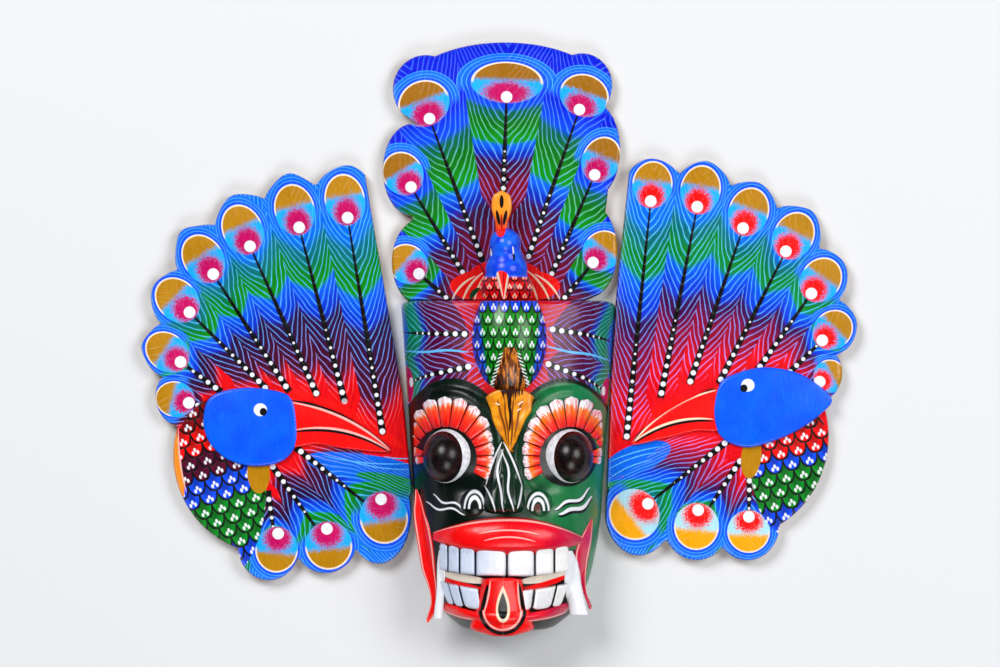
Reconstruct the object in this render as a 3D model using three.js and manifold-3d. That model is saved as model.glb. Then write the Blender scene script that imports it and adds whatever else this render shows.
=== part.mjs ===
// A carved wooden demon mask of the peacock kind, lying on its back.
// +X is the viewer's right, +Y points to the crest and +Z out of the face. Millimetres.
// Before it is set down, X = 0 is the middle of the face and Y = 0 the top of the face block,
// where the crest and the peacock's head stand.
import * as THREE from 'three';
import { mergeVertices } from 'three/addons/utils/BufferGeometryUtils.js';
import Module from 'manifold-3d';

const wasm = await Module();
wasm.setup();

// Driving dimensions
const clearance = 0.3; // between touching pieces
const boardThickness = 12; // crest and wings
const boardEase = 2.5; // how deep the front edge of a board is eased
const boardSteps = 132; // sides of a board's outline

const block = {
  halfWidth: 91, // at the top, where the wings and the crest seat
  height: 277,
  depth: 84, // from the back to the front of the mouth
  wall: 10,
  flankTaper: 0.0667, // how fast the straight flanks close in
};

// Shares of the block's height, half width and depth, from the top down to the chin
const blockStations = [
  { down: 0, wide: 1, deep: 0.76 },
  { down: 0.16, wide: 0.968, deep: 0.8 },
  { down: 0.32, wide: 0.935, deep: 0.84 },
  { down: 0.48, wide: 0.903, deep: 0.86 },
  { down: 0.6, wide: 0.878, deep: 0.92 },
  { down: 0.66, wide: 0.866, deep: 0.98 },
  { down: 0.76, wide: 0.82, deep: 1 },
  { down: 0.87, wide: 0.735, deep: 0.95 },
  { down: 0.95, wide: 0.6, deep: 0.86 },
  { down: 1, wide: 0.42, deep: 0.74 },
];
const blockRoundness = 2.3; // exponent of the block's section
const blockRows = 18;
const blockColumns = 22;

const eye = { out: 52.5, down: 132, rx: 20.5, ry: 23, rise: 17, sunk: 3 };
const pupil = { shift: 5, rx: 15.5, ry: 19.5, rise: 23, lift: 2 };
const fringe = { outer: 27, top: 53, inner: 42, from: -4, to: 202, petals: 13, raise: 7, cut: 2.4 };
const brow = { border: 8, raise: 3.5 };
const birdBody = { x: 1, down: 34, halfWidth: 33, halfLength: 52, rise: 17, sunk: 12 };
const birdTail = { x: 1.5, top: 76, tip: 126, halfWidth: 20, raise: 6 };
const nose = { x: -4, top: 117, foot: 177, halfWidth: 19, rise: 15 };
const nostril = { left: -28, right: 25, down: 169, radius: 12, rise: 7, sunk: 3 };
const upperLip = { top: 182, bottom: 212, corner: 201, halfWidth: 64, sag: 5.5, raise: 9 };
const teeth = { halfWidth: 57, gap: 1.2, raise: 5 };
const upperTeeth = { top: 210, bottom: 232.5, curve: 3.5, shares: [0, 0.07, 0.17, 0.3, 0.56, 0.79, 0.9, 1] };
const lowerTeeth = { top: 241, bottom: 259, curve: 10, shares: [0, 0.12, 0.27, 0.5, 0.67, 0.85, 1] };
const lowerLip = { top: 255, bottom: 266, halfWidth: 58, lift: 11, sag: 4, raise: 7 };
const tongue = { x: -5, top: 233, bottom: 281, neck: 16, halfWidth: 25.5, raise: 13, shoulder: 22, tip: 14, spread: 2 };
const flap = { top: 176, bottom: 268, width: 13, tipOut: 4, back: 6, front: 42, inset: 0.5, lap: 1, bow: 2, hem: 30 };

const crest = {
  halfWidth: block.halfWidth * 0.934, // of the web behind the lobes
  height: 219,
  centre: 103, // how high the middle of the fan is
};
// Lobes of the crest, placed by shares of its half width and height
const crestLobes = [
  { x: -0.03, y: 0.812, rx: 1, ry: 0.19 },
  { x: -0.82, y: 0.82, rx: 0.33, ry: 0.133 },
  { x: 0.74, y: 0.835, rx: 0.3, ry: 0.125 },
  { x: -0.96, y: 0.508, rx: 0.29, ry: 0.178 },
  { x: 0.84, y: 0.586, rx: 0.28, ry: 0.187 },
  { x: -0.86, y: 0.151, rx: 0.3, ry: 0.17 },
  { x: 0.82, y: 0.195, rx: 0.27, ry: 0.18 },
  { x: 0, y: 0.06, rx: 0.95, ry: 0.1 },
];

const peacock = {
  halfWidth: 21, // across the breast
  height: 93, // up to the comb's top
  front: 58, // how far the breast stands out
  lean: 3, // how far the head stands before the neck
  combHalf: 3, // half the comb's thickness
};

// Each wing is given in its own outward direction: out from the middle of the face, and up.
// Its feathers are shares of the fan's radius.
const leftWing = {
  side: -1,
  centre: { out: 190, up: -95 },
  fan: { out: 155.6, up: -48.5, radius: 132, first: -7.2, step: 18.8 },
  feathers: [
    { wide: 0.205, long: 0.212, tip: 0.015, pull: 0.023 },
    { wide: 0.205, long: 0.212, tip: 0.03, pull: -0.03 },
    { wide: 0.212, long: 0.205, tip: 0.023, pull: -0.023 },
    { wide: 0.212, long: 0.197, tip: 0.038, pull: 0 },
    { wide: 0.197, long: 0.182, tip: 0.015, pull: 0 },
    { wide: 0.182, long: 0.167, tip: 0.023, pull: -0.008 },
    { wide: 0.182, long: 0.152, tip: 0, pull: -0.03 },
  ],
  lowerFeathers: [
    { out: 1.538, up: -1.583, wide: 0.197, long: 0.212 },
    { out: 1.174, up: -1.538, wide: 0.205, long: 0.212 },
    { out: 0.83, up: -1.364, wide: 0.208, long: 0.326 },
  ],
  body: { out: 200, up: -131, wide: 84, long: 84 },
  web: { out: 110, up: -45, wide: 60, long: 135 },
  edge: { topOut: 29.7, topUp: 103, seatFrom: -110, seatTo: -180, footOut: 0.5, footUp: -200 },
  head: { out: 219, up: -108, wide: 40, long: 33 },
  beak: { from: 186, top: -84, bottom: -121, tipOut: 99.5, tipUp: -126.5 },
};

const rightWing = {
  side: 1,
  centre: { out: 200, up: -75 },
  fan: { out: 141.1, up: -36.7, radius: 134, first: -7.9, step: 18.3 },
  feathers: [
    { wide: 0.187, long: 0.179, tip: 0.007, pull: 0 },
    { wide: 0.187, long: 0.194, tip: 0.015, pull: -0.03 },
    { wide: 0.194, long: 0.187, tip: 0.015, pull: -0.045 },
    { wide: 0.194, long: 0.187, tip: 0.022, pull: 0.007 },
    { wide: 0.187, long: 0.179, tip: 0.007, pull: 0.007 },
    { wide: 0.179, long: 0.157, tip: 0.007, pull: 0 },
    { wide: 0.172, long: 0.142, tip: 0, pull: -0.06 },
  ],
  lowerFeathers: [
    { out: 0.828, up: -1.328, wide: 0.216, long: 0.284 },
    { out: 1.194, up: -1.396, wide: 0.216, long: 0.246 },
    { out: 1.515, up: -1.425, wide: 0.201, long: 0.216 },
  ],
  body: { out: 190, up: -115, wide: 82, long: 86 },
  web: { out: 115, up: -40, wide: 60, long: 138 },
  edge: { topOut: 11, topUp: 103, seatFrom: 0, seatTo: -61, footOut: 3.3, footUp: -175 },
  head: { out: 222, up: -93, wide: 47, long: 31 },
  beak: { from: 176, top: -74, bottom: -107, tipOut: 104, tipUp: -121.5 },
};

const wingRelief = { raise: 4, sunk: 2, lap: 6 }; // the bird's head and beak stand out of the board

// Solids
function toSolid(geometry) {
  const bare = geometry.clone();
  bare.deleteAttribute('normal');
  bare.deleteAttribute('uv');
  const merged = mergeVertices(bare, 1e-4);
  const mesh = new wasm.Mesh({
    numProp: 3,
    vertProperties: Float32Array.from(merged.attributes.position.array),
    triVerts: Uint32Array.from(merged.index.array),
  });
  return new wasm.Manifold(mesh);
}

function toGeometry(solid) {
  const mesh = solid.getMesh();
  const geometry = new THREE.BufferGeometry();
  geometry.setAttribute('position', new THREE.BufferAttribute(mesh.vertProperties, 3));
  geometry.setIndex(new THREE.BufferAttribute(mesh.triVerts, 1));
  const flat = geometry.toNonIndexed();
  flat.computeVertexNormals();
  return flat;
}

function joined(solids) {
  return solids.reduce((sum, solid) => sum.add(solid));
}

function ellipsoid(x, y, z, rx, ry, rz, around = 16, down = 10) {
  const geometry = new THREE.SphereGeometry(1, around, down);
  geometry.rotateX(Math.PI / 2);
  geometry.scale(rx, ry, rz);
  geometry.translate(x, y, z);
  return toSolid(geometry);
}

function prism(shape, back, front, curveSegments = 5) {
  const geometry = new THREE.ExtrudeGeometry(shape, {
    depth: front - back,
    bevelEnabled: false,
    curveSegments,
  });
  geometry.translate(0, 0, back);
  return toSolid(geometry);
}

function shapeThrough(points) {
  return new THREE.Shape(points.map(([x, y]) => new THREE.Vector2(x, y)));
}

// The face block: a loft of rounded sections, its flanks straight where the wings seat
function stationAt(down, key) {
  const share = THREE.MathUtils.clamp(down / block.height, 0, 1);
  const next = Math.max(1, blockStations.findIndex((station) => station.down >= share));
  const from = blockStations[next - 1];
  const to = blockStations[next];
  const t = (share - from.down) / (to.down - from.down);
  return THREE.MathUtils.lerp(from[key], to[key], t);
}

const straightDown = 0.66; // share of the height along which the flanks are straight

function halfWidthAt(down) {
  const straight = block.halfWidth - block.flankTaper * down;
  if (down <= straightDown * block.height) return straight;
  return block.halfWidth * stationAt(down, 'wide');
}

function depthAt(down) {
  return block.depth * stationAt(down, 'deep');
}

// The height of the block's front over its back at a place
function frontAt(x, down) {
  const t = Math.min(1, Math.abs(x) / halfWidthAt(down));
  return depthAt(down) * (1 - t ** blockRoundness) ** (1 / blockRoundness);
}

function blockLoft(wider, deeper, back, ends, rows = blockRows, columns = blockColumns) {
  const positions = [];
  const index = [];
  const top = -ends;
  const bottom = block.height + ends;
  for (let row = 0; row <= rows; row++) {
    const down = THREE.MathUtils.lerp(top, bottom, row / rows);
    const wide = halfWidthAt(down) + wider;
    const deep = depthAt(down) + deeper;
    for (let column = 0; column <= columns; column++) {
      const angle = (Math.PI * column) / columns;
      const x = -Math.sign(Math.cos(angle)) * Math.abs(Math.cos(angle)) ** (2 / blockRoundness);
      const z = Math.abs(Math.sin(angle)) ** (2 / blockRoundness);
      positions.push(wide * x, -down, column === 0 || column === columns ? 0 : deep * z);
    }
    positions.push(wide, -down, back, -wide, -down, back);
  }
  const ring = columns + 3;
  for (let row = 0; row < rows; row++) {
    for (let i = 0; i < ring; i++) {
      const a = row * ring + i;
      const b = row * ring + ((i + 1) % ring);
      index.push(a, a + ring, b, b, a + ring, b + ring);
    }
  }
  for (let i = 1; i < ring - 1; i++) {
    const end = rows * ring;
    index.push(0, i, i + 1);
    index.push(end, end + i + 1, end + i);
  }
  const geometry = new THREE.BufferGeometry();
  geometry.setAttribute('position', new THREE.Float32BufferAttribute(positions, 3));
  geometry.setIndex(index);
  return toSolid(geometry);
}

// A shape seen from the front that stands out of the block by raise, following its surface
function relief(shape, raise, curveSegments) {
  const above = boardThickness + clearance;
  const through = prism(shape, above, block.depth + 2 * raise, curveSegments);
  return through.intersect(blockLoft(0, raise, 0, raise));
}

function smoothBetween(a, b, t) {
  return a + (b - a) * 0.5 * (1 - Math.cos(Math.PI * THREE.MathUtils.clamp(t, 0, 1)));
}

// The petals round an eye: low at its outer side, high over it, middling beside the nose
function fringeRadius(angle) {
  if (angle < 95) return smoothBetween(fringe.outer, fringe.top, (angle + 8) / 95);
  return smoothBetween(fringe.top, fringe.inner, (angle - 95) / 90);
}

function fringeShape(side, border) {
  const points = [];
  const perPetal = border ? 1 : 4;
  const steps = fringe.petals * perPetal;
  for (let i = 0; i <= steps; i++) {
    const angle = THREE.MathUtils.lerp(fringe.from, fringe.to, i / steps);
    const scallop = border ? 0 : fringe.cut * (1 - Math.abs(Math.sin((Math.PI * i) / perPetal)));
    const radius = fringeRadius(angle) + border - scallop;
    const a = THREE.MathUtils.degToRad(angle);
    points.push([side * (eye.out + Math.cos(a) * radius), -eye.down + Math.sin(a) * radius]);
  }
  points.push([side * eye.out, -eye.down - eye.ry * 0.5]);
  return shapeThrough(side > 0 ? points : points.reverse());
}

function eyeSolids(side) {
  const x = side * eye.out;
  const level = frontAt(eye.out, eye.down);
  const ball = ellipsoid(x, -eye.down, level - eye.sunk, eye.rx, eye.ry, eye.rise + eye.sunk);
  const out = x + side * pupil.shift;
  const dome = ellipsoid(out, -eye.down, level + pupil.lift, pupil.rx, pupil.ry, pupil.rise - pupil.lift);
  return [ball, dome];
}

function birdTailShape() {
  const { x, top, tip, halfWidth } = birdTail;
  return shapeThrough([[x - halfWidth, -top], [x, -tip], [x + halfWidth, -top]]);
}

function noseSolids() {
  const steps = 6;
  const profile = [new THREE.Vector2(0, 0)];
  for (let i = steps; i >= 0; i--) {
    const t = i / steps;
    const radius = i === 0 ? 0 : Math.sin((Math.PI / 2) * t) ** 0.85;
    profile.push(new THREE.Vector2(radius, 1 - t));
  }
  const leaf = new THREE.LatheGeometry(profile, 14);
  leaf.scale(nose.halfWidth, nose.foot - nose.top, nose.rise + nose.halfWidth * 0.3);
  leaf.translate(nose.x, -nose.foot, depthAt(nose.foot) - nose.halfWidth * 0.5);
  const bridge = toSolid(leaf);
  const wings = [nostril.left, nostril.right].map((x) => {
    const base = frontAt(x, nostril.down);
    const { down, radius, rise, sunk } = nostril;
    return ellipsoid(x, -down, base - sunk, radius, radius, rise + sunk, 14, 8);
  });
  return [bridge, ...wings];
}

function upperLipShape() {
  const { halfWidth, corner, top, bottom, sag } = upperLip;
  const shape = new THREE.Shape();
  shape.moveTo(-halfWidth, -corner);
  shape.quadraticCurveTo(-halfWidth * 0.35, -bottom - sag, 0, -bottom);
  shape.quadraticCurveTo(halfWidth * 0.35, -bottom - sag, halfWidth, -corner);
  shape.quadraticCurveTo(halfWidth * 0.5, -top, 0, -top);
  shape.quadraticCurveTo(-halfWidth * 0.5, -top, -halfWidth, -corner);
  return shape;
}

function toothRow(row) {
  return row.shares.slice(1).map((share, i) => {
    const left = THREE.MathUtils.lerp(-teeth.halfWidth, teeth.halfWidth, row.shares[i]) + teeth.gap / 2;
    const right = THREE.MathUtils.lerp(-teeth.halfWidth, teeth.halfWidth, share) - teeth.gap / 2;
    const lift = (x) => row.curve * (x / teeth.halfWidth) ** 2;
    const shape = shapeThrough([
      [left, -row.bottom + lift(left)],
      [right, -row.bottom + lift(right)],
      [right, -row.top + lift(right)],
      [left, -row.top + lift(left)],
    ]);
    return relief(shape, teeth.raise);
  });
}

function lowerLipShape() {
  const { halfWidth, top, bottom, lift, sag } = lowerLip;
  const shape = new THREE.Shape();
  shape.moveTo(-halfWidth, -top + lift);
  shape.quadraticCurveTo(-halfWidth * 0.5, -top - sag / 2, 0, -top - sag);
  shape.quadraticCurveTo(halfWidth * 0.5, -top - sag / 2, halfWidth, -top + lift);
  shape.quadraticCurveTo(halfWidth * 0.75, -bottom, 0, -bottom - sag / 2);
  shape.quadraticCurveTo(-halfWidth * 0.75, -bottom, -halfWidth, -top + lift);
  return shape;
}

function tongueShape() {
  const { x, top, bottom, neck, halfWidth, shoulder, tip, spread } = tongue;
  const shape = new THREE.Shape();
  shape.moveTo(x - neck, -top);
  shape.quadraticCurveTo(x - neck - spread, -top - shoulder, x - halfWidth, -bottom + tip);
  shape.quadraticCurveTo(x - halfWidth, -bottom, x, -bottom);
  shape.quadraticCurveTo(x + halfWidth, -bottom, x + halfWidth, -bottom + tip);
  shape.quadraticCurveTo(x + neck + spread, -top - shoulder, x + neck, -top);
  return shape;
}

// The flap beside the mouth hangs down behind it and ends in an outward point
function flapSolid(side) {
  const { top, bottom, width, tipOut, hem } = flap;
  const outer = halfWidthAt(top) - flap.inset;
  const low = halfWidthAt(bottom - hem) + flap.lap;
  const shape = new THREE.Shape();
  shape.moveTo(side * (outer - width), -top);
  shape.lineTo(side * outer, -top);
  shape.quadraticCurveTo(side * (outer - flap.bow), -(top + bottom) / 2, side * low, -bottom + hem * 0.8);
  shape.quadraticCurveTo(side * low, -bottom + hem * 0.27, side * (low + tipOut), -bottom);
  shape.lineTo(side * (low - width), -bottom + hem * 0.13);
  shape.lineTo(side * (low - width), -bottom + hem);
  return prism(shape, flap.back, flap.front);
}

function faceSolid() {
  const parts = [blockLoft(0, 0, 0, 0)];
  const topCut = shapeThrough([
    [-block.halfWidth, -block.height],
    [block.halfWidth, -block.height],
    [block.halfWidth, 0],
    [-block.halfWidth, 0],
  ]);
  const level = depthAt(birdBody.down);
  const bird = ellipsoid(birdBody.x, -birdBody.down, level - birdBody.sunk, birdBody.halfWidth,
    birdBody.halfLength, birdBody.rise + birdBody.sunk, 20, 12);
  parts.push(bird.intersect(prism(topCut, 0, block.depth * 2)));
  for (const side of [-1, 1]) {
    parts.push(relief(fringeShape(side, brow.border), brow.raise));
    parts.push(relief(fringeShape(side, 0), fringe.raise));
    parts.push(...eyeSolids(side));
    parts.push(flapSolid(side));
  }
  parts.push(relief(birdTailShape(), birdTail.raise));
  parts.push(...noseSolids());
  parts.push(relief(upperLipShape(), upperLip.raise, 8));
  parts.push(...toothRow(upperTeeth));
  parts.push(...toothRow(lowerTeeth));
  parts.push(relief(lowerLipShape(), lowerLip.raise, 8));
  parts.push(relief(tongueShape(), tongue.raise, 6));
  return joined(parts).subtract(hollowSolid());
}

// The wearer's side: the block's own form, one wall smaller all round, open at the back
function hollowSolid() {
  return blockLoft(-block.wall, -block.wall, -block.wall, -block.wall, 12, 16);
}

// Boards: a turned disc whose radius is stretched to the outline in every direction
function lobeReach(from, direction, lobe) {
  const c = Math.cos(lobe.turn || 0);
  const s = Math.sin(lobe.turn || 0);
  const ox = from.x - lobe.x;
  const oy = from.y - lobe.y;
  const ax = (ox * c + oy * s) / lobe.rx;
  const ay = (-ox * s + oy * c) / lobe.ry;
  const bx = (direction.x * c + direction.y * s) / lobe.rx;
  const by = (-direction.x * s + direction.y * c) / lobe.ry;
  const a = bx * bx + by * by;
  const b = ax * bx + ay * by;
  const inside = b * b - a * (ax * ax + ay * ay - 1);
  if (inside < 0) return 0;
  const reach = (-b + Math.sqrt(inside)) / a;
  if (reach <= 0) return 0;
  const peak = Math.max(0, ay + by * reach);
  return reach + (lobe.tip || 0) * peak ** 12;
}

// Distance from a point to the straight edge through a and b, which keeps the point's side
function edgeReach(from, direction, a, b) {
  const across = new THREE.Vector2(b.y - a.y, a.x - b.x).normalize();
  const gap = across.dot(new THREE.Vector2(a.x - from.x, a.y - from.y));
  const speed = across.dot(direction) * Math.sign(gap);
  return speed > 1e-6 ? Math.abs(gap) / speed : Infinity;
}

function boardSolid(centre, lobes, edges, mirrored) {
  const profile = [
    new THREE.Vector2(0, 0),
    new THREE.Vector2(1, 0),
    new THREE.Vector2(1, boardThickness - boardEase),
    new THREE.Vector2(1 - boardEase / block.halfWidth, boardThickness),
    new THREE.Vector2(0, boardThickness),
  ];
  const geometry = new THREE.LatheGeometry(profile, boardSteps);
  const position = geometry.attributes.position;
  const direction = new THREE.Vector2();
  for (let i = 0; i < position.count; i++) {
    const share = Math.hypot(position.getX(i), position.getZ(i));
    const height = position.getY(i);
    direction.set(1, 0);
    if (share > 0) direction.set(position.getZ(i), position.getX(i)).divideScalar(share);
    const reach = Math.max(...lobes.map((lobe) => lobeReach(centre, direction, lobe)));
    const limit = Math.min(reach, ...edges.map(([a, b]) => edgeReach(centre, direction, a, b)));
    const x = centre.x + direction.x * limit * share;
    const y = centre.y + direction.y * limit * share;
    position.setXYZ(i, mirrored ? -x : x, y, height);
  }
  if (mirrored) turnInsideOut(geometry);
  return toSolid(geometry);
}

function turnInsideOut(geometry) {
  const index = geometry.index.array;
  for (let i = 0; i < index.length; i += 3) {
    const kept = index[i];
    index[i] = index[i + 1];
    index[i + 1] = kept;
  }
}

function crestSolid() {
  const lobes = crestLobes.map(({ x, y, rx, ry }) => ({
    x: x * crest.halfWidth,
    y: y * crest.height,
    rx: rx * crest.halfWidth,
    ry: ry * crest.height,
  }));
  lobes.push({ x: 0, y: crest.centre, rx: crest.halfWidth, ry: crest.height * 0.52 });
  const seat = [new THREE.Vector2(-1, clearance), new THREE.Vector2(1, clearance)];
  return boardSolid(new THREE.Vector2(0, crest.centre), lobes, [seat], false);
}

function wingLobes(wing) {
  const { fan } = wing;
  const lobes = wing.feathers.map(({ wide, long, tip, pull }, i) => {
    const angle = THREE.MathUtils.degToRad(fan.first + fan.step * i);
    const reach = fan.radius * (1 + pull);
    return {
      x: fan.out + Math.sin(angle) * reach,
      y: fan.up + Math.cos(angle) * reach,
      rx: wide * fan.radius,
      ry: long * fan.radius,
      turn: -angle,
      tip: tip * fan.radius,
    };
  });
  for (const { out, up, wide, long } of wing.lowerFeathers) {
    lobes.push({
      x: out * fan.radius,
      y: up * fan.radius,
      rx: wide * fan.radius,
      ry: long * fan.radius,
    });
  }
  for (const { out, up, wide, long } of [wing.body, wing.web]) {
    lobes.push({ x: out, y: up, rx: wide, ry: long });
  }
  return lobes;
}

// The inner edge follows the block's flank where it seats and leans away from it elsewhere
function wingEdges(wing) {
  const { topOut, topUp, seatFrom, seatTo, footOut, footUp } = wing.edge;
  const points = [
    new THREE.Vector2(block.halfWidth + topOut, topUp),
    new THREE.Vector2(halfWidthAt(-seatFrom) + clearance, seatFrom),
    new THREE.Vector2(halfWidthAt(-seatTo) + clearance, seatTo),
    new THREE.Vector2(halfWidthAt(-footUp) + clearance + footOut, footUp),
  ];
  return points.slice(1).map((point, i) => [points[i], point]);
}

function wingSolid(wing) {
  const centre = new THREE.Vector2(wing.centre.out, wing.centre.up);
  const board = boardSolid(centre, wingLobes(wing), wingEdges(wing), wing.side < 0);
  return board.add(birdHead(wing)).add(birdBeak(wing));
}

function birdHead(wing) {
  const { out, up, wide, long } = wing.head;
  const shape = new THREE.Shape();
  shape.absellipse(wing.side * out, up, wide, long, 0, 2 * Math.PI);
  return prism(shape, boardThickness - wingRelief.sunk, boardThickness + wingRelief.raise, 28);
}

function birdBeak(wing) {
  const { from, top, bottom, tipOut, tipUp } = wing.beak;
  const x = (out) => wing.side * out;
  const shape = new THREE.Shape();
  shape.moveTo(x(from + wingRelief.lap), top);
  shape.quadraticCurveTo(x((from + tipOut) / 2), top + (tipUp - top) * 0.3, x(tipOut), tipUp);
  shape.quadraticCurveTo(x((from + tipOut) / 2), bottom + wingRelief.sunk, x(from + wingRelief.lap), bottom);
  return prism(shape, boardThickness - wingRelief.sunk, boardThickness + wingRelief.raise * 0.75, 7);
}

// The peacock's head, neck and breast, standing in front of the crest
function peacockSolid() {
  const { halfWidth, height, front, lean, combHalf } = peacock;
  const back = boardThickness + clearance;
  const middle = (back + front) / 2;
  const deep = (front - back) / 2;
  const breast = ellipsoid(0, height * 0.13, middle, halfWidth, height * 0.2, deep, 14, 8);
  const neck = ellipsoid(0, height * 0.34, middle, halfWidth * 0.74, height * 0.3, deep * 0.75, 14, 8);
  const head = ellipsoid(0, height * 0.55, middle + lean, halfWidth * 0.62, height * 0.17, deep * 0.8, 14, 8);
  const combShape = new THREE.Shape();
  combShape.moveTo(-height * 0.045, height * 0.62);
  combShape.quadraticCurveTo(-height * 0.14, height * 0.92, -height * 0.07, height * 0.98);
  combShape.quadraticCurveTo(0, height * 1.02, height * 0.07, height * 0.98);
  combShape.quadraticCurveTo(height * 0.14, height * 0.92, height * 0.045, height * 0.62);
  const comb = prism(combShape, middle - combHalf, middle + combHalf);
  const beakGeometry = new THREE.ConeGeometry(height * 0.085, height * 0.42, 12);
  beakGeometry.rotateX(Math.PI - 0.62);
  beakGeometry.translate(0, height * 0.3, middle + deep * 0.95);
  const beak = toSolid(beakGeometry);
  const room = new THREE.Shape();
  room.moveTo(-halfWidth * 2, clearance);
  room.lineTo(halfWidth * 2, clearance);
  room.lineTo(halfWidth * 2, height * 2);
  room.lineTo(-halfWidth * 2, height * 2);
  const whole = joined([breast, neck, head, comb, beak]);
  return whole.intersect(prism(room, back, front * 2));
}

// Materials and the assembled mask
function painted(color) {
  return new THREE.MeshStandardMaterial({ color, roughness: 0.3, metalness: 0 });
}

function named(name, solid, material) {
  const mesh = new THREE.Mesh(toGeometry(solid), material);
  mesh.name = name;
  return mesh;
}

const group = new THREE.Group();
group.add(named('face', faceSolid(), painted(0x145a32)));
group.add(named('crest', crestSolid(), painted(0x0a50ff)));
group.add(named('peacock_head', peacockSolid(), painted(0x1e50ff)));
group.add(named('left_wing', wingSolid(leftWing), painted(0x0a64ff)));
group.add(named('right_wing', wingSolid(rightWing), painted(0x0a78ff)));

// The origin is the middle of the mask's underside
const bounds = new THREE.Box3().setFromObject(group);
const middle = bounds.getCenter(new THREE.Vector3());
group.position.set(-middle.x, -middle.y, -bounds.min.z);

export default group;
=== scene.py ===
# A painted demon mask of the peacock kind, lying on its back and seen from above
import math
import random
import bmesh
import bpy
from mathutils import Matrix, Vector
from mathutils.noise import noise


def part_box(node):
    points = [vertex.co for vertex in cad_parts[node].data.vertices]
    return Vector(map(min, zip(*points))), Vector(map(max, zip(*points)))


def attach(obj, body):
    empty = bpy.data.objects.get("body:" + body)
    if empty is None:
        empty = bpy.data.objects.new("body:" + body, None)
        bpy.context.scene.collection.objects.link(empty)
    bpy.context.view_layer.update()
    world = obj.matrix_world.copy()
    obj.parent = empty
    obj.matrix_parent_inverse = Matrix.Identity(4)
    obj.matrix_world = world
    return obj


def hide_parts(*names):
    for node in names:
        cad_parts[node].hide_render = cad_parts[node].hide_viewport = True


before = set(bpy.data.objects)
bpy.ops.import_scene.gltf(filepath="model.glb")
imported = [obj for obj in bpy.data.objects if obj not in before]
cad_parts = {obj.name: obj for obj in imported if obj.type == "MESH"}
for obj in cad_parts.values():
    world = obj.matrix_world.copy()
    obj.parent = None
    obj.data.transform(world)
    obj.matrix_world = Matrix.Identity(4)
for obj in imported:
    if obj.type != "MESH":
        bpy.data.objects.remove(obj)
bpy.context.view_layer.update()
random.seed(11)
mm = 0.001
clearance = 0.3  # between touching pieces

# Sizes are millimetres from the middle of the face block's top edge, +Y to the crest
faceLow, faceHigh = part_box("face")
middle = Vector(((faceLow.x + faceHigh.x) / 2, faceHigh.y, 0))


def place(x, y, z=0):
    return middle + Vector((x, y, z)) * mm


def paint(red, green, blue):  # a paint colour as the eye sees it, made linear
    parts = [c / 255 for c in (red, green, blue)]
    return tuple(c / 12.92 if c < 0.04 else ((c + 0.055) / 1.055) ** 2.4 for c in parts) + (1.0,)


colours = {
    "white": paint(238, 240, 246), "cream": paint(250, 226, 196), "pink": paint(255, 186, 178),
    "black": paint(3, 3, 5), "ochre": paint(184, 128, 0), "orange": paint(250, 140, 24),
    "red": paint(250, 8, 6), "darkRed": paint(140, 4, 14), "magenta": paint(196, 0, 96),
    "maroon": paint(92, 0, 44), "azure": paint(0, 104, 240), "iceBlue": paint(170, 226, 244),
    "amber": paint(250, 168, 0), "darkOchre": paint(160, 104, 0), "blue": paint(4, 76, 250),
    "cyan": paint(10, 172, 250), "paleBlue": paint(96, 190, 255), "green": paint(2, 140, 34),
    "leaf": paint(0, 66, 34), "brown": paint(120, 60, 10), "rust": paint(96, 56, 52),
    "bone": paint(226, 214, 198), "wood": paint(206, 158, 106), "darkWood": paint(120, 82, 48),
}


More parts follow.
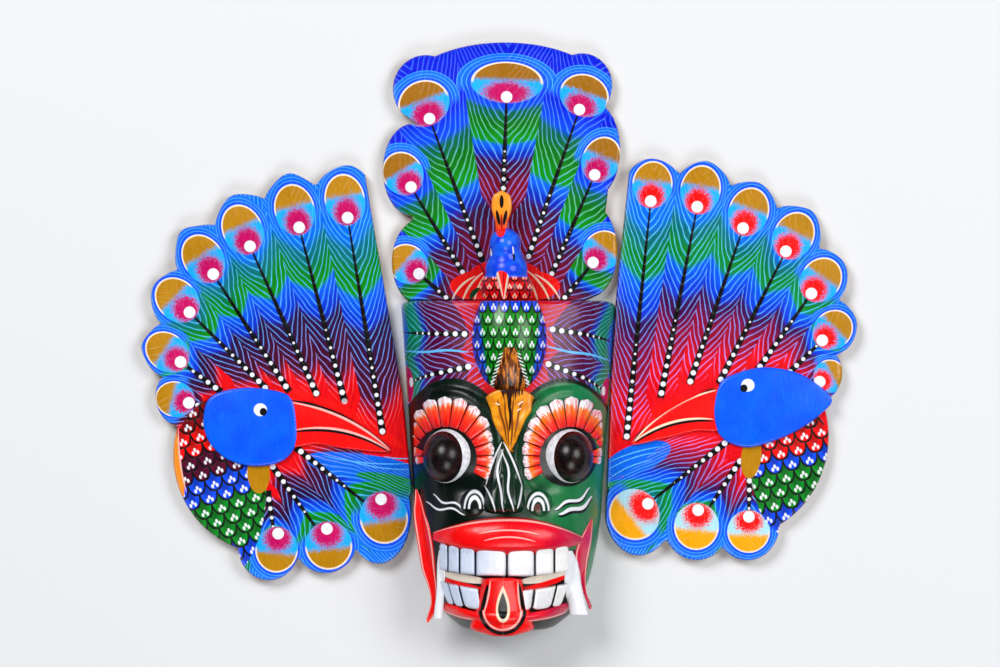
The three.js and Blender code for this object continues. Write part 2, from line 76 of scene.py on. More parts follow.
# Nodes
class Pen:  # writes nodes into one tree; a value is a number, a socket or a colour's name
    def __init__(self, tree):
        self.tree = tree

    def feed(self, socketShade, value):
        if isinstance(value, bpy.types.NodeSocket):
            self.tree.links.new(value, socketShade)
        else:
            socketShade.default_value = colours[value] if isinstance(value, str) else value

    def add(self, kind, values=(), **settings):
        node = self.tree.nodes.new("ShaderNode" + kind)
        for key, value in settings.items():
            setattr(node, key, value)
        for socketShade, value in zip(node.inputs, values):
            self.feed(socketShade, value)
        return node

    def calc(self, operation, *values):
        return self.add("Math", values, operation=operation).outputs[0]

    def vector(self, operation, *values):
        node = self.add("VectorMath", values, operation=operation)
        flat = operation in ("DOT_PRODUCT", "LENGTH", "DISTANCE")
        return node.outputs["Value" if flat else "Vector"]

    def below(self, value, limit, soft=0.3):  # 1 where the value is under the limit
        gap = self.minus(value, limit)
        values = (gap, -soft, soft, 1.0, 0.0)
        return self.add("MapRange", values, interpolation_type="SMOOTHSTEP").outputs[0]

    def times(self, first, second):
        return self.calc("MULTIPLY", first, second)

    def over(self, first, second):
        return self.calc("DIVIDE", first, second)

    def plus(self, first, second):
        return self.calc("ADD", first, second)

    def minus(self, first, second):
        return self.calc("SUBTRACT", first, second)

    def timesPlus(self, value, factor, more):
        return self.calc("MULTIPLY_ADD", value, factor, more)

    def away(self, value, middle):  # how far the value is from the middle one
        return self.calc("ABSOLUTE", self.minus(value, middle))

    def pick(self, mask, low, high):  # low where the mask is 0, high where it is 1
        step = self.minus(high, low)
        return self.timesPlus(step, mask, low)

    def lay(self, under, over, mask, blend="MIX"):
        node = self.add("Mix", data_type="RGBA", blend_type=blend)
        self.feed(node.inputs[0], mask)
        self.feed(node.inputs[6], under)
        self.feed(node.inputs[7], over)
        return node.outputs[2]

    def ramp(self, value, stops, blend="EASE"):
        node = self.add("ValToRGB", (value,))
        node.color_ramp.interpolation = blend
        while len(node.color_ramp.elements) < len(stops):
            node.color_ramp.elements.new(0.5)
        for element, (position, colour) in zip(node.color_ramp.elements, stops):
            element.position = position
            element.color = colours[colour] if isinstance(colour, str) else colour
        return node.outputs[0]

    def speckle(self, where, scale, detail=2.0):
        node = self.add("TexNoise")
        self.feed(node.inputs["Vector"], where)
        node.inputs["Scale"].default_value = scale
        node.inputs["Detail"].default_value = detail
        return node.outputs[0]

    def split(self, where):
        return self.add("SeparateXYZ", (where,)).outputs

    def join(self, *values):
        return self.add("CombineXYZ", values).outputs[0]

    def place(self):  # the piece's own place, in the millimetres used here
        mapping = self.add("Mapping", (self.add("TexCoord").outputs["Object"],))
        mapping.inputs["Location"].default_value = -middle / mm
        mapping.inputs["Scale"].default_value = (1 / mm, 1 / mm, 1 / mm)
        return mapping.outputs[0]

    def sheet(self):  # across and along a laid piece, from 0 to 1
        return self.split(self.add("UVMap", uv_map="sheet").outputs[0])

    def use(self, group, **values):
        node = self.add("Group", node_tree=group)
        for label, value in values.items():
            self.feed(node.inputs[label], value)
        return node.outputs


def newGroup(name, inputs, outputs):
    tree = bpy.data.node_groups.new(name, "ShaderNodeTree")
    for label, kind in inputs.items():
        tree.interface.new_socket(label, in_out="INPUT", socket_type="NodeSocket" + kind)
    for label, kind in outputs.items():
        tree.interface.new_socket(label, in_out="OUTPUT", socket_type="NodeSocket" + kind)
    given = tree.nodes.new("NodeGroupInput").outputs
    result = tree.nodes.new("NodeGroupOutput").inputs
    return Pen(tree), given, result


def alongAndAcross(pen, where, spot, way):
    away = pen.vector("MULTIPLY", pen.vector("SUBTRACT", where, spot), (1, 1, 0))
    along = pen.vector("DOT_PRODUCT", away, way)
    turned = pen.vector("CROSS_PRODUCT", way, away)
    return along, pen.vector("DOT_PRODUCT", turned, (0, 0, 1))


def makeStroke():  # one touch of a brush, pointed at both ends
    inputs = {"where": "Vector", "spot": "Vector", "way": "Vector", "half": "Float"}
    inputs.update({"bow": "Float", "wave": "Float", "width": "Float"})
    pen, given, result = newGroup("painted stroke", inputs, {"mask": "Float"})
    along, across = alongAndAcross(pen, given["where"], given["spot"], given["way"])
    share = pen.over(along, given["half"])
    rest = pen.minus(1.0, pen.times(share, share))
    bend = pen.times(rest, given["bow"])
    swing = pen.calc("SINE", pen.times(share, math.pi * 1.5))
    bend = pen.timesPlus(swing, given["wave"], bend)
    off = pen.away(across, bend)
    full = pen.calc("SQRT", pen.calc("MAXIMUM", rest, 0.0))
    near = pen.below(off, pen.times(full, given["width"]), 0.3)
    pen.feed(result["mask"], pen.times(near, pen.calc("GREATER_THAN", rest, 0.0)))
    return pen.tree


def makeQuill():  # keeps the nearest of several quills
    kept = {"gap": "Float", "along": "Float", "across": "Float", "reach": "Float"}
    inputs = {"where": "Vector", "spot": "Vector", "way": "Vector", "length": "Float", **kept}
    pen, given, result = newGroup("nearest quill", inputs, kept)
    along, across = alongAndAcross(pen, given["where"], given["spot"], given["way"])
    before = pen.times(pen.calc("MAXIMUM", pen.times(along, -1.0), 0.0), 0.35)
    after = pen.calc("MAXIMUM", pen.minus(along, given["length"]), 0.0)
    gap = pen.plus(pen.calc("ABSOLUTE", across), pen.plus(before, after))
    nearer = pen.calc("LESS_THAN", gap, given["gap"])
    pen.feed(result["gap"], pen.calc("MINIMUM", gap, given["gap"]))
    pen.feed(result["along"], pen.pick(nearer, given["along"], along))
    pen.feed(result["across"], pen.pick(nearer, given["across"], across))
    pen.feed(result["reach"], pen.pick(nearer, given["reach"], given["length"]))
    return pen.tree


def makeFeatherEye():  # keeps the nearest of several feather eyes
    kept = {"ring": "Float", "across": "Float", "up": "Float", "dot": "Float"}
    inputs = {"where": "Vector", "spot": "Vector", "way": "Vector", "wide": "Float", "long": "Float"}
    pen, given, result = newGroup("nearest feather eye", {**inputs, **kept}, kept)
    down, side = alongAndAcross(pen, given["where"], given["spot"], given["way"])
    across = pen.over(side, given["wide"])
    up = pen.over(pen.times(down, -1.0), given["long"])
    ring = pen.vector("LENGTH", pen.join(across, up, 0.0))
    drop = pen.timesPlus(given["long"], -0.7, down)
    dot = pen.vector("LENGTH", pen.join(side, drop, 0.0))
    nearer = pen.calc("LESS_THAN", ring, given["ring"])
    pen.feed(result["ring"], pen.calc("MINIMUM", ring, given["ring"]))
    pen.feed(result["across"], pen.pick(nearer, given["across"], across))
    pen.feed(result["up"], pen.pick(nearer, given["up"], up))
    pen.feed(result["dot"], pen.pick(nearer, given["dot"], dot))
    return pen.tree


def makeScales():  # rows of overlapping scales, each with three dabs of white
    inputs = {"where": "Vector", "wide": "Float", "tall": "Float"}
    outputs = {"rim": "Float", "dabs": "Float", "row": "Float", "crown": "Float"}
    pen, given, result = newGroup("scales", inputs, outputs)
    x, y, _ = pen.split(given["where"])
    column = pen.over(x, given["wide"])
    down = pen.over(pen.times(y, -1.0), given["tall"])
    row = pen.calc("FLOOR", down)
    low = pen.calc("FRACT", down)
    shift = pen.calc("FRACT", pen.times(row, 0.5))
    side = pen.minus(pen.calc("FRACT", pen.plus(column, shift)), 0.5)
    off = pen.calc("ABSOLUTE", side)
    round_ = pen.vector("LENGTH", pen.join(pen.times(off, 2.0), low, 0.0))
    upper = pen.below(round_, 1.0, 0.02)
    pen.feed(result["rim"], pen.below(pen.away(round_, 0.97), 0.1, 0.03))
    middleDab = pen.vector("LENGTH", pen.join(pen.times(off, 2.2), pen.minus(low, 0.36), 0.0))
    sideDab = pen.vector("LENGTH", pen.join(pen.minus(pen.times(off, 2.2), 0.3),
                                            pen.minus(low, 0.58), 0.0))
    pen.feed(result["dabs"], pen.below(pen.calc("MINIMUM", middleDab, sideDab), 0.16, 0.04))
    pen.feed(result["row"], pen.minus(pen.plus(row, 1.0), upper))
    pen.feed(result["crown"], pen.times(upper, round_))
    return pen.tree


def makeFinish():  # brushed enamel: uneven tone, sheen and a little relief
    outputs = {"tone": "Float", "roughness": "Float", "height": "Float"}
    pen, given, result = newGroup("brushed enamel", {"where": "Vector"}, outputs)
    drawn = pen.vector("MULTIPLY", given["where"], (0.5, 0.12, 0.3))
    brush = pen.speckle(drawn, 1.0, 3.0)
    broad = pen.speckle(given["where"], 0.035, 2.0)
    fine = pen.speckle(given["where"], 1.6, 2.0)
    tone = pen.timesPlus(broad, 0.5, pen.timesPlus(brush, 0.5, 0.42))
    pen.feed(result["tone"], tone)
    pen.feed(result["roughness"], pen.timesPlus(brush, 0.16, pen.timesPlus(broad, 0.2, 0.14)))
    pen.feed(result["height"], pen.timesPlus(fine, 0.25, brush))
    return pen.tree


strokeGroup = makeStroke()
quillGroup = makeQuill()
eyeGroup = makeFeatherEye()
scaleGroup = makeScales()
finishGroup = makeFinish()
print("node groups ready")


def newMaterial(name):
    material = bpy.data.materials.new(name)
    material.use_nodes = True
    pen = Pen(material.node_tree)
    return material, pen, material.node_tree.nodes["Principled BSDF"], pen.place()


def addRelief(pen, shader, height, strength, depth):
    relief = pen.add("Bump")
    relief.inputs["Strength"].default_value = strength
    relief.inputs["Distance"].default_value = depth * mm
    pen.feed(relief.inputs["Height"], height)
    pen.feed(shader.inputs["Normal"], relief.outputs[0])


def enamel(name, colouring, coat=0.2, bump=0.25):
    material, pen, shader, where = newMaterial(name)
    colour, height = colouring(pen, where)
    finish = pen.use(finishGroup, where=where)
    toned = pen.lay(colour, finish["tone"], 0.55, "MULTIPLY")
    pen.feed(shader.inputs["Base Color"], toned)
    pen.feed(shader.inputs["Roughness"], finish["roughness"])
    shader.inputs["Coat Weight"].default_value = coat
    shader.inputs["Coat Roughness"].default_value = 0.1
    shader.inputs["Specular IOR Level"].default_value = 0.3
    addRelief(pen, shader, pen.timesPlus(height, 1.6, finish["height"]), bump, 0.6)
    return material


def strokes(pen, where, colour, items):  # items: start, end, bow, wave, width, shade
    for start, end, bow, wave, width, shade in items:
        a = Vector((start[0], start[1], 0))
        b = Vector((end[0], end[1], 0))
        values = {"spot": (a + b) / 2, "way": (b - a).normalized(), "half": (b - a).length / 2}
        mask = pen.use(strokeGroup, where=where, bow=bow, wave=wave, width=width, **values)["mask"]
        colour = pen.lay(colour, shade, mask)
    return colour


def drop(pen, where, top, length, half):
    x, y, _ = pen.split(where)
    down = pen.over(pen.minus(top[1], y), length)
    inside = pen.calc("MAXIMUM", pen.times(down, pen.minus(1.0, down)), 0.0)
    round_ = pen.calc("SQRT", pen.times(inside, pen.calc("MAXIMUM", down, 0.0)))
    limit = pen.times(round_, 2.6 * half)
    return pen.below(pen.away(x, top[0]), limit, 0.25)


def ovalRing(pen, where, spot, wide, tall):  # 1 on the oval, 0 at its middle
    away = pen.vector("SUBTRACT", where, (spot[0], spot[1], 0))
    share = pen.vector("MULTIPLY", away, (1 / wide, 1 / tall, 0))
    return pen.vector("LENGTH", share)


def arch(pen, where, colour, spot, wide, tall, width, shade, lower=False):
    ring = ovalRing(pen, where, spot, wide, tall)
    off = pen.times(pen.away(ring, 1.0), min(wide, tall))
    y = pen.split(where)[1]
    half = pen.below(y, spot[1], 0.4) if lower else pen.below(spot[1], y, 0.4)
    return pen.lay(colour, shade, pen.times(pen.below(off, width), half))


def featherColour(pen, where, fan):
    quill = {"gap": 1000.0, "along": 0.0, "across": 0.0, "reach": 1.0}
    ringed = {"ring": 1000.0, "across": 0.0, "up": 0.0, "dot": 1000.0}
    for eye, base, wide, long, *turned in fan["feathers"]:
        a = Vector((eye[0], eye[1], 0))
        b = Vector((base[0], base[1], 0))
        way = (b - a).normalized()
        found = pen.use(quillGroup, where=where, spot=a, way=way, length=(b - a).length, **quill)
        quill = {key: found[key] for key in quill}
        if wide:
            eyeWay = (*turned[0], 0) if turned else way
            found = pen.use(eyeGroup, where=where, spot=a, way=eyeWay, wide=wide, long=long, **ringed)
            ringed = {key: found[key] for key in ringed}
    share = pen.over(quill["along"], quill["reach"])
    off = pen.calc("ABSOLUTE", quill["across"])
    slope = pen.timesPlus(off, fan["curl"], 1.15)
    slant = pen.timesPlus(off, slope, quill["along"])
    slant = pen.timesPlus(pen.speckle(where, 0.035, 0.0), 16.0, slant)
    slant = pen.timesPlus(pen.speckle(where, 0.12, 0.0), 3.0, slant)
    level = pen.plus(pen.times(slant, fan["follow"]), pen.times(quill["along"], 1 - fan["follow"]))
    band = pen.over(pen.minus(level, 9.5 * fan["follow"]), quill["reach"])
    colour = pen.ramp(band, fan["ground"])
    colour = strokes(pen, where, colour, fan["under"])
    barb = pen.ramp(band, fan["barbs"])
    wave = pen.away(pen.calc("FRACT", pen.over(slant, fan["spacing"])), 0.5)
    lines = pen.times(pen.below(wave, 0.09, 0.05), pen.below(band, fan["barbsTo"], 0.05))
    # a faint black midway between the barb lines is painted shade
    colour = pen.lay(colour, "black", pen.times(pen.below(0.36, wave, 0.1), 0.16))
    colour = pen.lay(colour, barb,
                     pen.times(lines, pen.timesPlus(pen.speckle(where, 0.2, 0.0), 0.7, 0.45)))
    thick = pen.timesPlus(share, fan["quill"], 0.5)
    drawn = pen.times(pen.below(off, thick, 0.35), pen.below(share, 1.0, 0.01))
    colour = pen.lay(colour, "black", drawn)
    step = pen.times(pen.minus(pen.calc("FRACT", pen.over(quill["along"], 7.8)), 0.5), 7.8)
    middle = pen.over(pen.minus(quill["along"], step), quill["reach"])
    first = pen.calc("MINIMUM", fan["dotFrom"], pen.timesPlus(quill["reach"], fan["dotRate"], 0.06))
    grown = pen.over(pen.minus(share, first), pen.minus(1.0, first))
    dotSize = pen.timesPlus(grown, fan["dots"] - 0.8, 0.8)
    dots = pen.below(pen.vector("LENGTH", pen.join(step, off, 0.0)), dotSize, 0.3)
    dots = pen.times(dots, pen.times(pen.below(0.0, grown, 0.01), pen.below(middle, 0.995, 0.001)))
    colour = pen.lay(colour, "white", dots)
    height = pen.calc("MAXIMUM", lines, dots)
    ring = ringed["ring"]
    halo = pen.ramp(pen.minus(ring, 1.0), [(0, "blue"), (0.3, paint(0, 110, 255)), (0.6, "blue")])
    circles = pen.away(pen.calc("FRACT", pen.times(ring, 7.5)), 0.5)
    halo = pen.lay(halo, "paleBlue", pen.times(pen.below(circles, 0.1, 0.05), 0.7))
    topSide = pen.below(-0.35, ringed["up"], 0.25)
    colour = pen.lay(colour, halo, pen.times(pen.below(ring, fan["halo"], 0.03), topSide))
    grain = pen.speckle(where, 1.1, 3.0)
    rough = pen.minus(grain, 0.5)
    up = pen.timesPlus(rough, 0.7, ringed["up"])
    low = pen.below(pen.split(where)[1], fan["lowEyes"], 2.0)
    ground = pen.lay(fan["eyeLow"], fan["lowGround"], low)
    tip = pen.lay(fan["eyeTip"], fan["lowTip"], low)
    inner = pen.lay(ground, tip, pen.below(0.14, up, 0.1))
    heart = pen.vector("LENGTH",
                       pen.join(pen.times(ringed["across"], 0.86), pen.plus(ringed["up"], 0.5), 0.0))
    heart = pen.timesPlus(rough, 0.9, heart)
    inner = pen.lay(inner, fan["heart"], pen.below(heart, 0.55, 0.12))
    rim = pen.times(pen.below(0.935, ring, 0.012), pen.below(0.0, ringed["up"], 0.1))
    inner = pen.lay(inner, "cream", rim)
    inner = pen.lay(inner, "white", pen.below(ringed["dot"], fan["dot"], 0.3))
    colour = pen.lay(colour, inner, pen.below(ring, 1.0, 0.015))
    return colour, height


def scaleShade(pen, colour, found, root, shadeColour="black", dab="white"):
    # the dark root at the top of each scale is painted shade, as cast by the scale above: where it ends,
    # how softly, and how strong it is
    end, soften, strength = root
    colour = pen.lay(colour, shadeColour, pen.times(pen.below(found["crown"], end, soften), strength))
    colour = pen.lay(colour, "black", found["rim"])
    return pen.lay(colour, dab, found["dabs"])


def scaleColour(pen, where, colour, spot, wide, tall, scaleWide, scaleTall, rows, lean):
    # scales inside an oval, their colours changing from its top to its foot
    mask = pen.below(ovalRing(pen, where, spot, wide, tall), 1.0, 0.01)
    way = (math.cos(lean), math.sin(lean), 0)
    turned = pen.join(*alongAndAcross(pen, where, (spot[0], spot[1], 0), way), 0.0)
    found = pen.use(scaleGroup, where=turned, wide=scaleWide, tall=scaleTall)
    depth = pen.over(pen.timesPlus(found["row"], scaleTall, tall), 2 * tall)
    shade = pen.ramp(depth, rows, "CONSTANT")
    shade = scaleShade(pen, shade, found, (0.45, 0.35, 0.5))
    return pen.lay(colour, shade, mask), pen.times(found["crown"], mask)


def rawWood(name, light, shadeColour):
    material, pen, shader, where = newMaterial(name)
    drawn = pen.vector("MULTIPLY", where, (0.5, 0.03, 0.5))
    grain = pen.speckle(drawn, 1.0, 6.0)
    pen.feed(shader.inputs["Base Color"], pen.ramp(grain, [(0.3, shadeColour), (0.7, light)]))
    pen.feed(shader.inputs["Roughness"], pen.timesPlus(grain, 0.2, 0.6))
    addRelief(pen, shader, grain, 0.4, 0.5)
    return material


bareWood = rawWood("bare wood", "wood", "darkWood")


def finishPiece(bm, name, node, materials, angle=40, thickness=0):
    mesh = bpy.data.meshes.new(name)
    bm.to_mesh(mesh)
    bm.free()
    piece = bpy.data.objects.new(name, mesh)
    bpy.context.scene.collection.objects.link(piece)
    for material in materials:
        mesh.materials.append(material)
    mesh.shade_smooth()
    mesh.set_sharp_from_angle(angle=math.radians(angle))
    if thickness:
        wall = piece.modifiers.new("wall", "SOLIDIFY")
        wall.thickness = thickness * mm
        wall.offset = -1
        wall.use_even_offset = thickness > 9
        wall.material_offset = len(materials) - 1
        wall.material_offset_rim = len(materials) - 1
    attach(piece, "root")
    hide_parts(node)
    return piece


def applyModifiers(piece):
    graph = bpy.context.evaluated_depsgraph_get()
    mesh = bpy.data.meshes.new_from_object(piece.evaluated_get(graph))
    piece.modifiers.clear()
    piece.data = mesh


def dome(bm, x, y, z, rx, ry, rz, around=48, down=32):
    matrix = Matrix.Translation(place(x, y, z)) @ Matrix.Diagonal((rx * mm, ry * mm, rz * mm, 1))
    bmesh.ops.create_uvsphere(bm, u_segments=around, v_segments=down, radius=1, matrix=matrix)


def laidSheet(bm, across, along, spot):  # a grid laid where spot(u, v) says, u and v from -1 to 1
    made = bmesh.ops.create_grid(bm, x_segments=across, y_segments=along, size=1, calc_uvs=True)
    for vert in made["verts"]:
        vert.co = place(*spot(vert.co.x, vert.co.y))


def newSheets():
    bm = bmesh.new()
    bm.loops.layers.uv.new("sheet")
    return bm


def curve(p0, p1, p2, p3, t):  # the smooth way from p1 to p2
    return 0.5 * (2 * p1 + (p2 - p0) * t + (2 * p0 - 5 * p1 + 4 * p2 - p3) * t * t
                  + (3 * p1 - p0 - 3 * p2 + p3) * t ** 3)


def smoothOutline(points, steps=8):  # a closed curve through the points
    outline = []
    count = len(points)
    for i in range(count):
        near = [Vector(points[(i + k) % count]) for k in (-1, 0, 1, 2)]
        outline += [curve(*near, step / steps) for step in range(steps)]
    return outline


def cutFlat(bm, spot, way):  # takes off what lies beyond the spot and closes the cut
    everything = bm.verts[:] + bm.edges[:] + bm.faces[:]
    bmesh.ops.bisect_plane(bm, geom=everything, plane_co=spot, plane_no=way, clear_outer=True)
    bmesh.ops.holes_fill(bm, edges=[edge for edge in bm.edges if edge.is_boundary], sides=0)


def plate(bm, outline, back, front, ease):
    base = bm.faces.new([bm.verts.new(place(x, y, back)) for x, y in outline])
    raised = bmesh.ops.extrude_face_region(bm, geom=[base])["geom"]
    top = {item for item in raised if isinstance(item, bmesh.types.BMVert)}
    bmesh.ops.translate(bm, verts=list(top), vec=(0, 0, (front - back) * mm))
    rim = [edge for edge in bm.edges if edge.verts[0] in top and edge.verts[1] in top]
    bmesh.ops.bevel(bm, geom=rim, offset=ease * mm, segments=4, profile=0.5, affect="EDGES", material=-1)
    bmesh.ops.recalc_face_normals(bm, faces=bm.faces)


def clamp(value, low=0.0, high=1.0):
    return max(low, min(high, value))


def soft(value, limit, width):  # 1 under the limit, 0 over it, with a smooth step between
    t = clamp((value - limit + width) / (2 * width))
    return 1 - t * t * (3 - 2 * t)


# The face block
block = {
    "halfWidth": 91, "height": 277, "depth": 84, "wall": 10, "flankTaper": 0.0667, "straight": 0.66,
    "roundness": 2.3, "columns": 150, "rows": 180, "ease": 2.4, "corner": 6,
    # share of the height, then of the half width and of the depth
    "stations": [(0, 1, 0.76), (0.16, 0.968, 0.8), (0.32, 0.935, 0.84), (0.48, 0.903, 0.86),
                 (0.6, 0.878, 0.92), (0.66, 0.866, 0.98), (0.76, 0.82, 1), (0.87, 0.735, 0.95),
                 (0.95, 0.6, 0.86), (1, 0.42, 0.74)],
}
eyes = {"out": 52.5, "down": 132, "rx": 23.4, "ry": 24, "rise": 19, "inward": 4.2}
pupils = {"shift": -0.3, "rx": 19.5, "ry": 22, "rise": 25, "lift": 1.2}
fringe = {"outer": 27, "top": 53, "inner": 42, "from": -6, "to": 200, "petals": 13, "border": 8}


def stationAt(down, column):
    share = clamp(down / block["height"])
    stations = block["stations"]
    last = next(i for i in range(1, len(stations)) if stations[i][0] >= share)
    before, after = stations[last - 1], stations[last]
    t = (share - before[0]) / (after[0] - before[0])
    slopeBefore = slopeAt(last - 1, column) * (after[0] - before[0])
    slopeAfter = slopeAt(last, column) * (after[0] - before[0])
    a, b = before[column], after[column]
    return (a * (2 * t ** 3 - 3 * t * t + 1) + slopeBefore * (t ** 3 - 2 * t * t + t)
            + b * (3 * t * t - 2 * t ** 3) + slopeAfter * (t ** 3 - t * t))


def slopeAt(i, column):
    stations = block["stations"]
    low, high = max(0, i - 1), min(len(stations) - 1, i + 1)
    return (stations[high][column] - stations[low][column]) / (stations[high][0] - stations[low][0])


def halfWidthAt(down):
    if down <= block["straight"] * block["height"]:
        return block["halfWidth"] - block["flankTaper"] * down
    return block["halfWidth"] * stationAt(down, 1)


def fringeReach(angle):  # low at the outer side, high over the eye, middling beside the nose
    if angle < 95:
        t = clamp((angle + 8) / 95)
        low, high = fringe["outer"], fringe["top"]
    else:
        t = clamp((angle - 95) / 90)
        low, high = fringe["top"], fringe["inner"]
    return low + (high - low) * 0.5 * (1 - math.cos(math.pi * t))


def carved(x, y):  # how far the carving stands out of the block's plain front
    side = 1 if x > 0 else -1
    right = side * x - eyes["out"]
    up = y + eyes["down"]
    reach = fringeReach((math.degrees(math.atan2(up, right)) + 90) % 360 - 90)
    far = math.hypot(right, up)
    upper = soft(-up, 22, 10)
    rise = 3.2 * soft(far, reach + fringe["border"] - 2, 2.2) * upper
    rise += 1.8 * soft(far, reach - 3, 1.5) * upper
    rise += 5 * math.exp(-((abs(x) - 46) / 17) ** 2 - ((y + 172) / 13) ** 2)
    rise += 4 * math.exp(-(x / 15) ** 2 - ((y + 160) / 26) ** 2)
    mouth = soft(abs(x), 59, 3) * soft(abs(y + 236), 27, 3)
    rise -= 3 * mouth
    rise += 2.5 * math.exp(-(x / 32) ** 2 - ((y + 272) / 8) ** 2)
    rise += 2 * math.exp(-((abs(x) - 72) / 9) ** 2 - ((y + 215) / 26) ** 2)
    return rise


def frontAt(x, y):
    down = clamp(-y, 0, block["height"])
    t = min(1.0, abs(x) / halfWidthAt(down))
    flat = block["depth"] * stationAt(down, 2) * (1 - t ** block["roundness"]) ** (1 / block["roundness"])
    return flat + carved(x, y) * clamp(1.4 - t)


def blockVertex(u, v):
    down = block["height"] * (1 - v) / 2
    nearEnd = min(down, block["height"] - down)
    gap = max(0, block["ease"] - nearEnd)
    inset = block["ease"] - math.sqrt(block["ease"] ** 2 - gap ** 2)
    angle = math.pi * (u + 1) / 2
    power = 2 / block["roundness"]
    corner = max(0, block["corner"] - down)
    cut = block["corner"] - math.sqrt(block["corner"] ** 2 - corner ** 2)
    wide = halfWidthAt(down) - inset - cut
    x = -math.copysign(abs(math.cos(angle)) ** power, math.cos(angle)) * wide
    sine = abs(math.sin(angle)) ** power
    z = (block["depth"] * stationAt(down, 2) - inset) * sine
    z += carved(x, -down) * clamp(1.4 - abs(x) / wide) * clamp(sine * 3)
    chisel = noise(Vector((x, down, z)) * 0.09)
    return x, -down, max(0, z + 0.35 * chisel * clamp(sine * 3))


def browColour(pen, where):  # the dark green of the face, lighter on its right half: painted light on the right and painted shade on the left
    x = pen.split(where)[0]
    cloud = pen.speckle(where, 0.05, 3.0)
    share = pen.timesPlus(pen.minus(cloud, 0.5), 0.5, pen.timesPlus(x, 0.0075, 0.4))
    return pen.ramp(share,
                    [(0.2, paint(0, 14, 7)), (0.5, paint(0, 44, 22)), (0.7, paint(20, 112, 58)),
                     (0.95, paint(20, 124, 74))])


fanBase = {
    # barbs: spacing, how far along a quill they run, how they bow, how far the colours slant with them
    "spacing": 8.8, "barbsTo": 0.96, "curl": 0.045, "follow": 0.4,
    # quills: width gained along one, its largest dot, and where its dots begin
    "quill": 2.7, "dots": 2.5, "dotFrom": 0.62, "dotRate": 0.0036,
    # feather eyes: the pale dot, how far the rings reach, their colours, and those under a height
    "dot": 4.9, "halo": 1.36, "eyeLow": "cyan", "eyeTip": "ochre", "heart": "magenta",
    "lowEyes": -400, "lowGround": "cyan", "lowTip": "ochre", "under": [],
}
forehead = {
    **fanBase,
    "feathers": [
        ((-103, -27), (-33.1, -28.1), 0, 0), ((-106, -71), (-32.3, -55.2), 16, 15),
        ((103, -34), (34.9, -23.8), 0, 0), ((103, -80), (32.3, -52.7), 15, 15),
    ],
    "ground": [(0, paint(0, 90, 220)), (0.14, paint(0, 130, 70)), (0.34, paint(0, 130, 90)),
               (0.44, paint(20, 40, 170)),
               (0.54, paint(84, 0, 60)), (1.1, paint(96, 0, 44)), (1.5, paint(200, 0, 20))],
    "barbs": [(0, "cyan"), (0.2, paint(60, 200, 220)), (0.38, "paleBlue"), (0.6, paint(120, 160, 245)),
              (0.9, paint(140, 130, 230))],
    "spacing": 8.6, "barbsTo": 1.2, "curl": 0.03, "follow": 0.3, "quill": 2.4, "dotFrom": 0.2,
    "dotRate": 1, "dot": 4.0, "halo": 1.3, "eyeLow": "magenta", "lowGround": "magenta",
}

faceStrokes = [  # start, end, bow, wave, width, shade
    ((-63.8, -164), (-34.9, -174.2), -0.5, 1.7, 0.9, "white"),
    ((-69.7, -170.8), (-35.7, -177.7), -0.5, 1.8, 0.9, "white"),
    ((38.2, -174.2), (69.7, -159.8), -2.0, -1.8, 2.4, "black"),
    ((38.2, -173.4), (69.7, -158.9), -2.0, -1.8, 1.3, "white"),
    ((41.6, -179.3), (71.4, -167.4), -3.2, -1.4, 2.6, "black"),
    ((41.6, -177.7), (71.4, -165.8), -3.2, -1.4, 1.7, "white"),
    ((-57.8, -228.7), (-16.1, -235.4), -0.6, 0, 3.4, "bone"),
    ((9.3, -235.4), (49.3, -228.7), -0.6, 0, 3.4, "bone"),
    ((-56.9, -232.9), (-17.8, -242.2), -1.2, 0, 2.3, "red"),
    ((9.3, -242.2), (51, -230.3), -1.6, 0, 2.4, "red"),
    ((-57.8, -251.6), (-51.9, -263.5), 0, 0, 3, "black"),
    ((-89.2, -43.4), (-32.3, -42.5), 0.6, 0.6, 1.0, "paleBlue"),
    ((32.3, -39.1), (87.5, -50.1), 0.6, 0.6, 1.0, "paleBlue"),
    ((-95.2, -14.4), (-88.4, -60.4), -1, 0, 1.2, "bone"),
    ((95.2, -14.4), (87.5, -60.4), 1, 0, 1.2, "bone"),
]


def faceColour(pen, where):
    x, y, z = pen.split(where)
    side = pen.calc("SIGN", x)
    wrap = pen.times(pen.calc("MAXIMUM", pen.minus(50.0, z), 0.0), 0.6)
    wrapped = pen.join(pen.timesPlus(side, wrap, x), y, 0.0)
    colour = browColour(pen, where)
    feathers, height = featherColour(pen, wrapped, forehead)
    mirrored = pen.join(pen.calc("ABSOLUTE", x), y, 0.0)
    brow = ovalRing(pen, mirrored, (47, -129), 47, 62)
    above = pen.times(pen.below(1.0, brow, 0.012), pen.below(-112.0, y, 0.5))
    edge = pen.times(pen.below(pen.away(brow, 1.0), 0.03, 0.01), pen.below(-128.0, y, 2.0))
    above = pen.times(above, pen.below(-96.0, y, 2.0))
    colour = pen.lay(colour, feathers, above)
    colour = pen.lay(colour, paint(0, 22, 10), edge)
    # near black around each eyeball, in its socket, is painted shade
    socketShade = pen.below(ovalRing(pen, mirrored, (49.5, -130), 26, 26), 1.0, 0.02)
    colour = pen.lay(colour, paint(0, 10, 6), socketShade)
    mouth = pen.times(pen.below(pen.calc("ABSOLUTE", x), 58.0, 0.5),
                      pen.below(pen.calc("ABSOLUTE", pen.plus(y, 236.0)), 27.0, 0.5))
    colour = pen.lay(colour, "black", mouth)
    colour = pen.lay(colour, paint(16, 26, 8),
                     pen.times(pen.below(y, -250.0, 6.0), pen.below(0.0, z, 1.0)))
    colour = strokes(pen, where, colour, faceStrokes)
    return colour, pen.times(height, above)


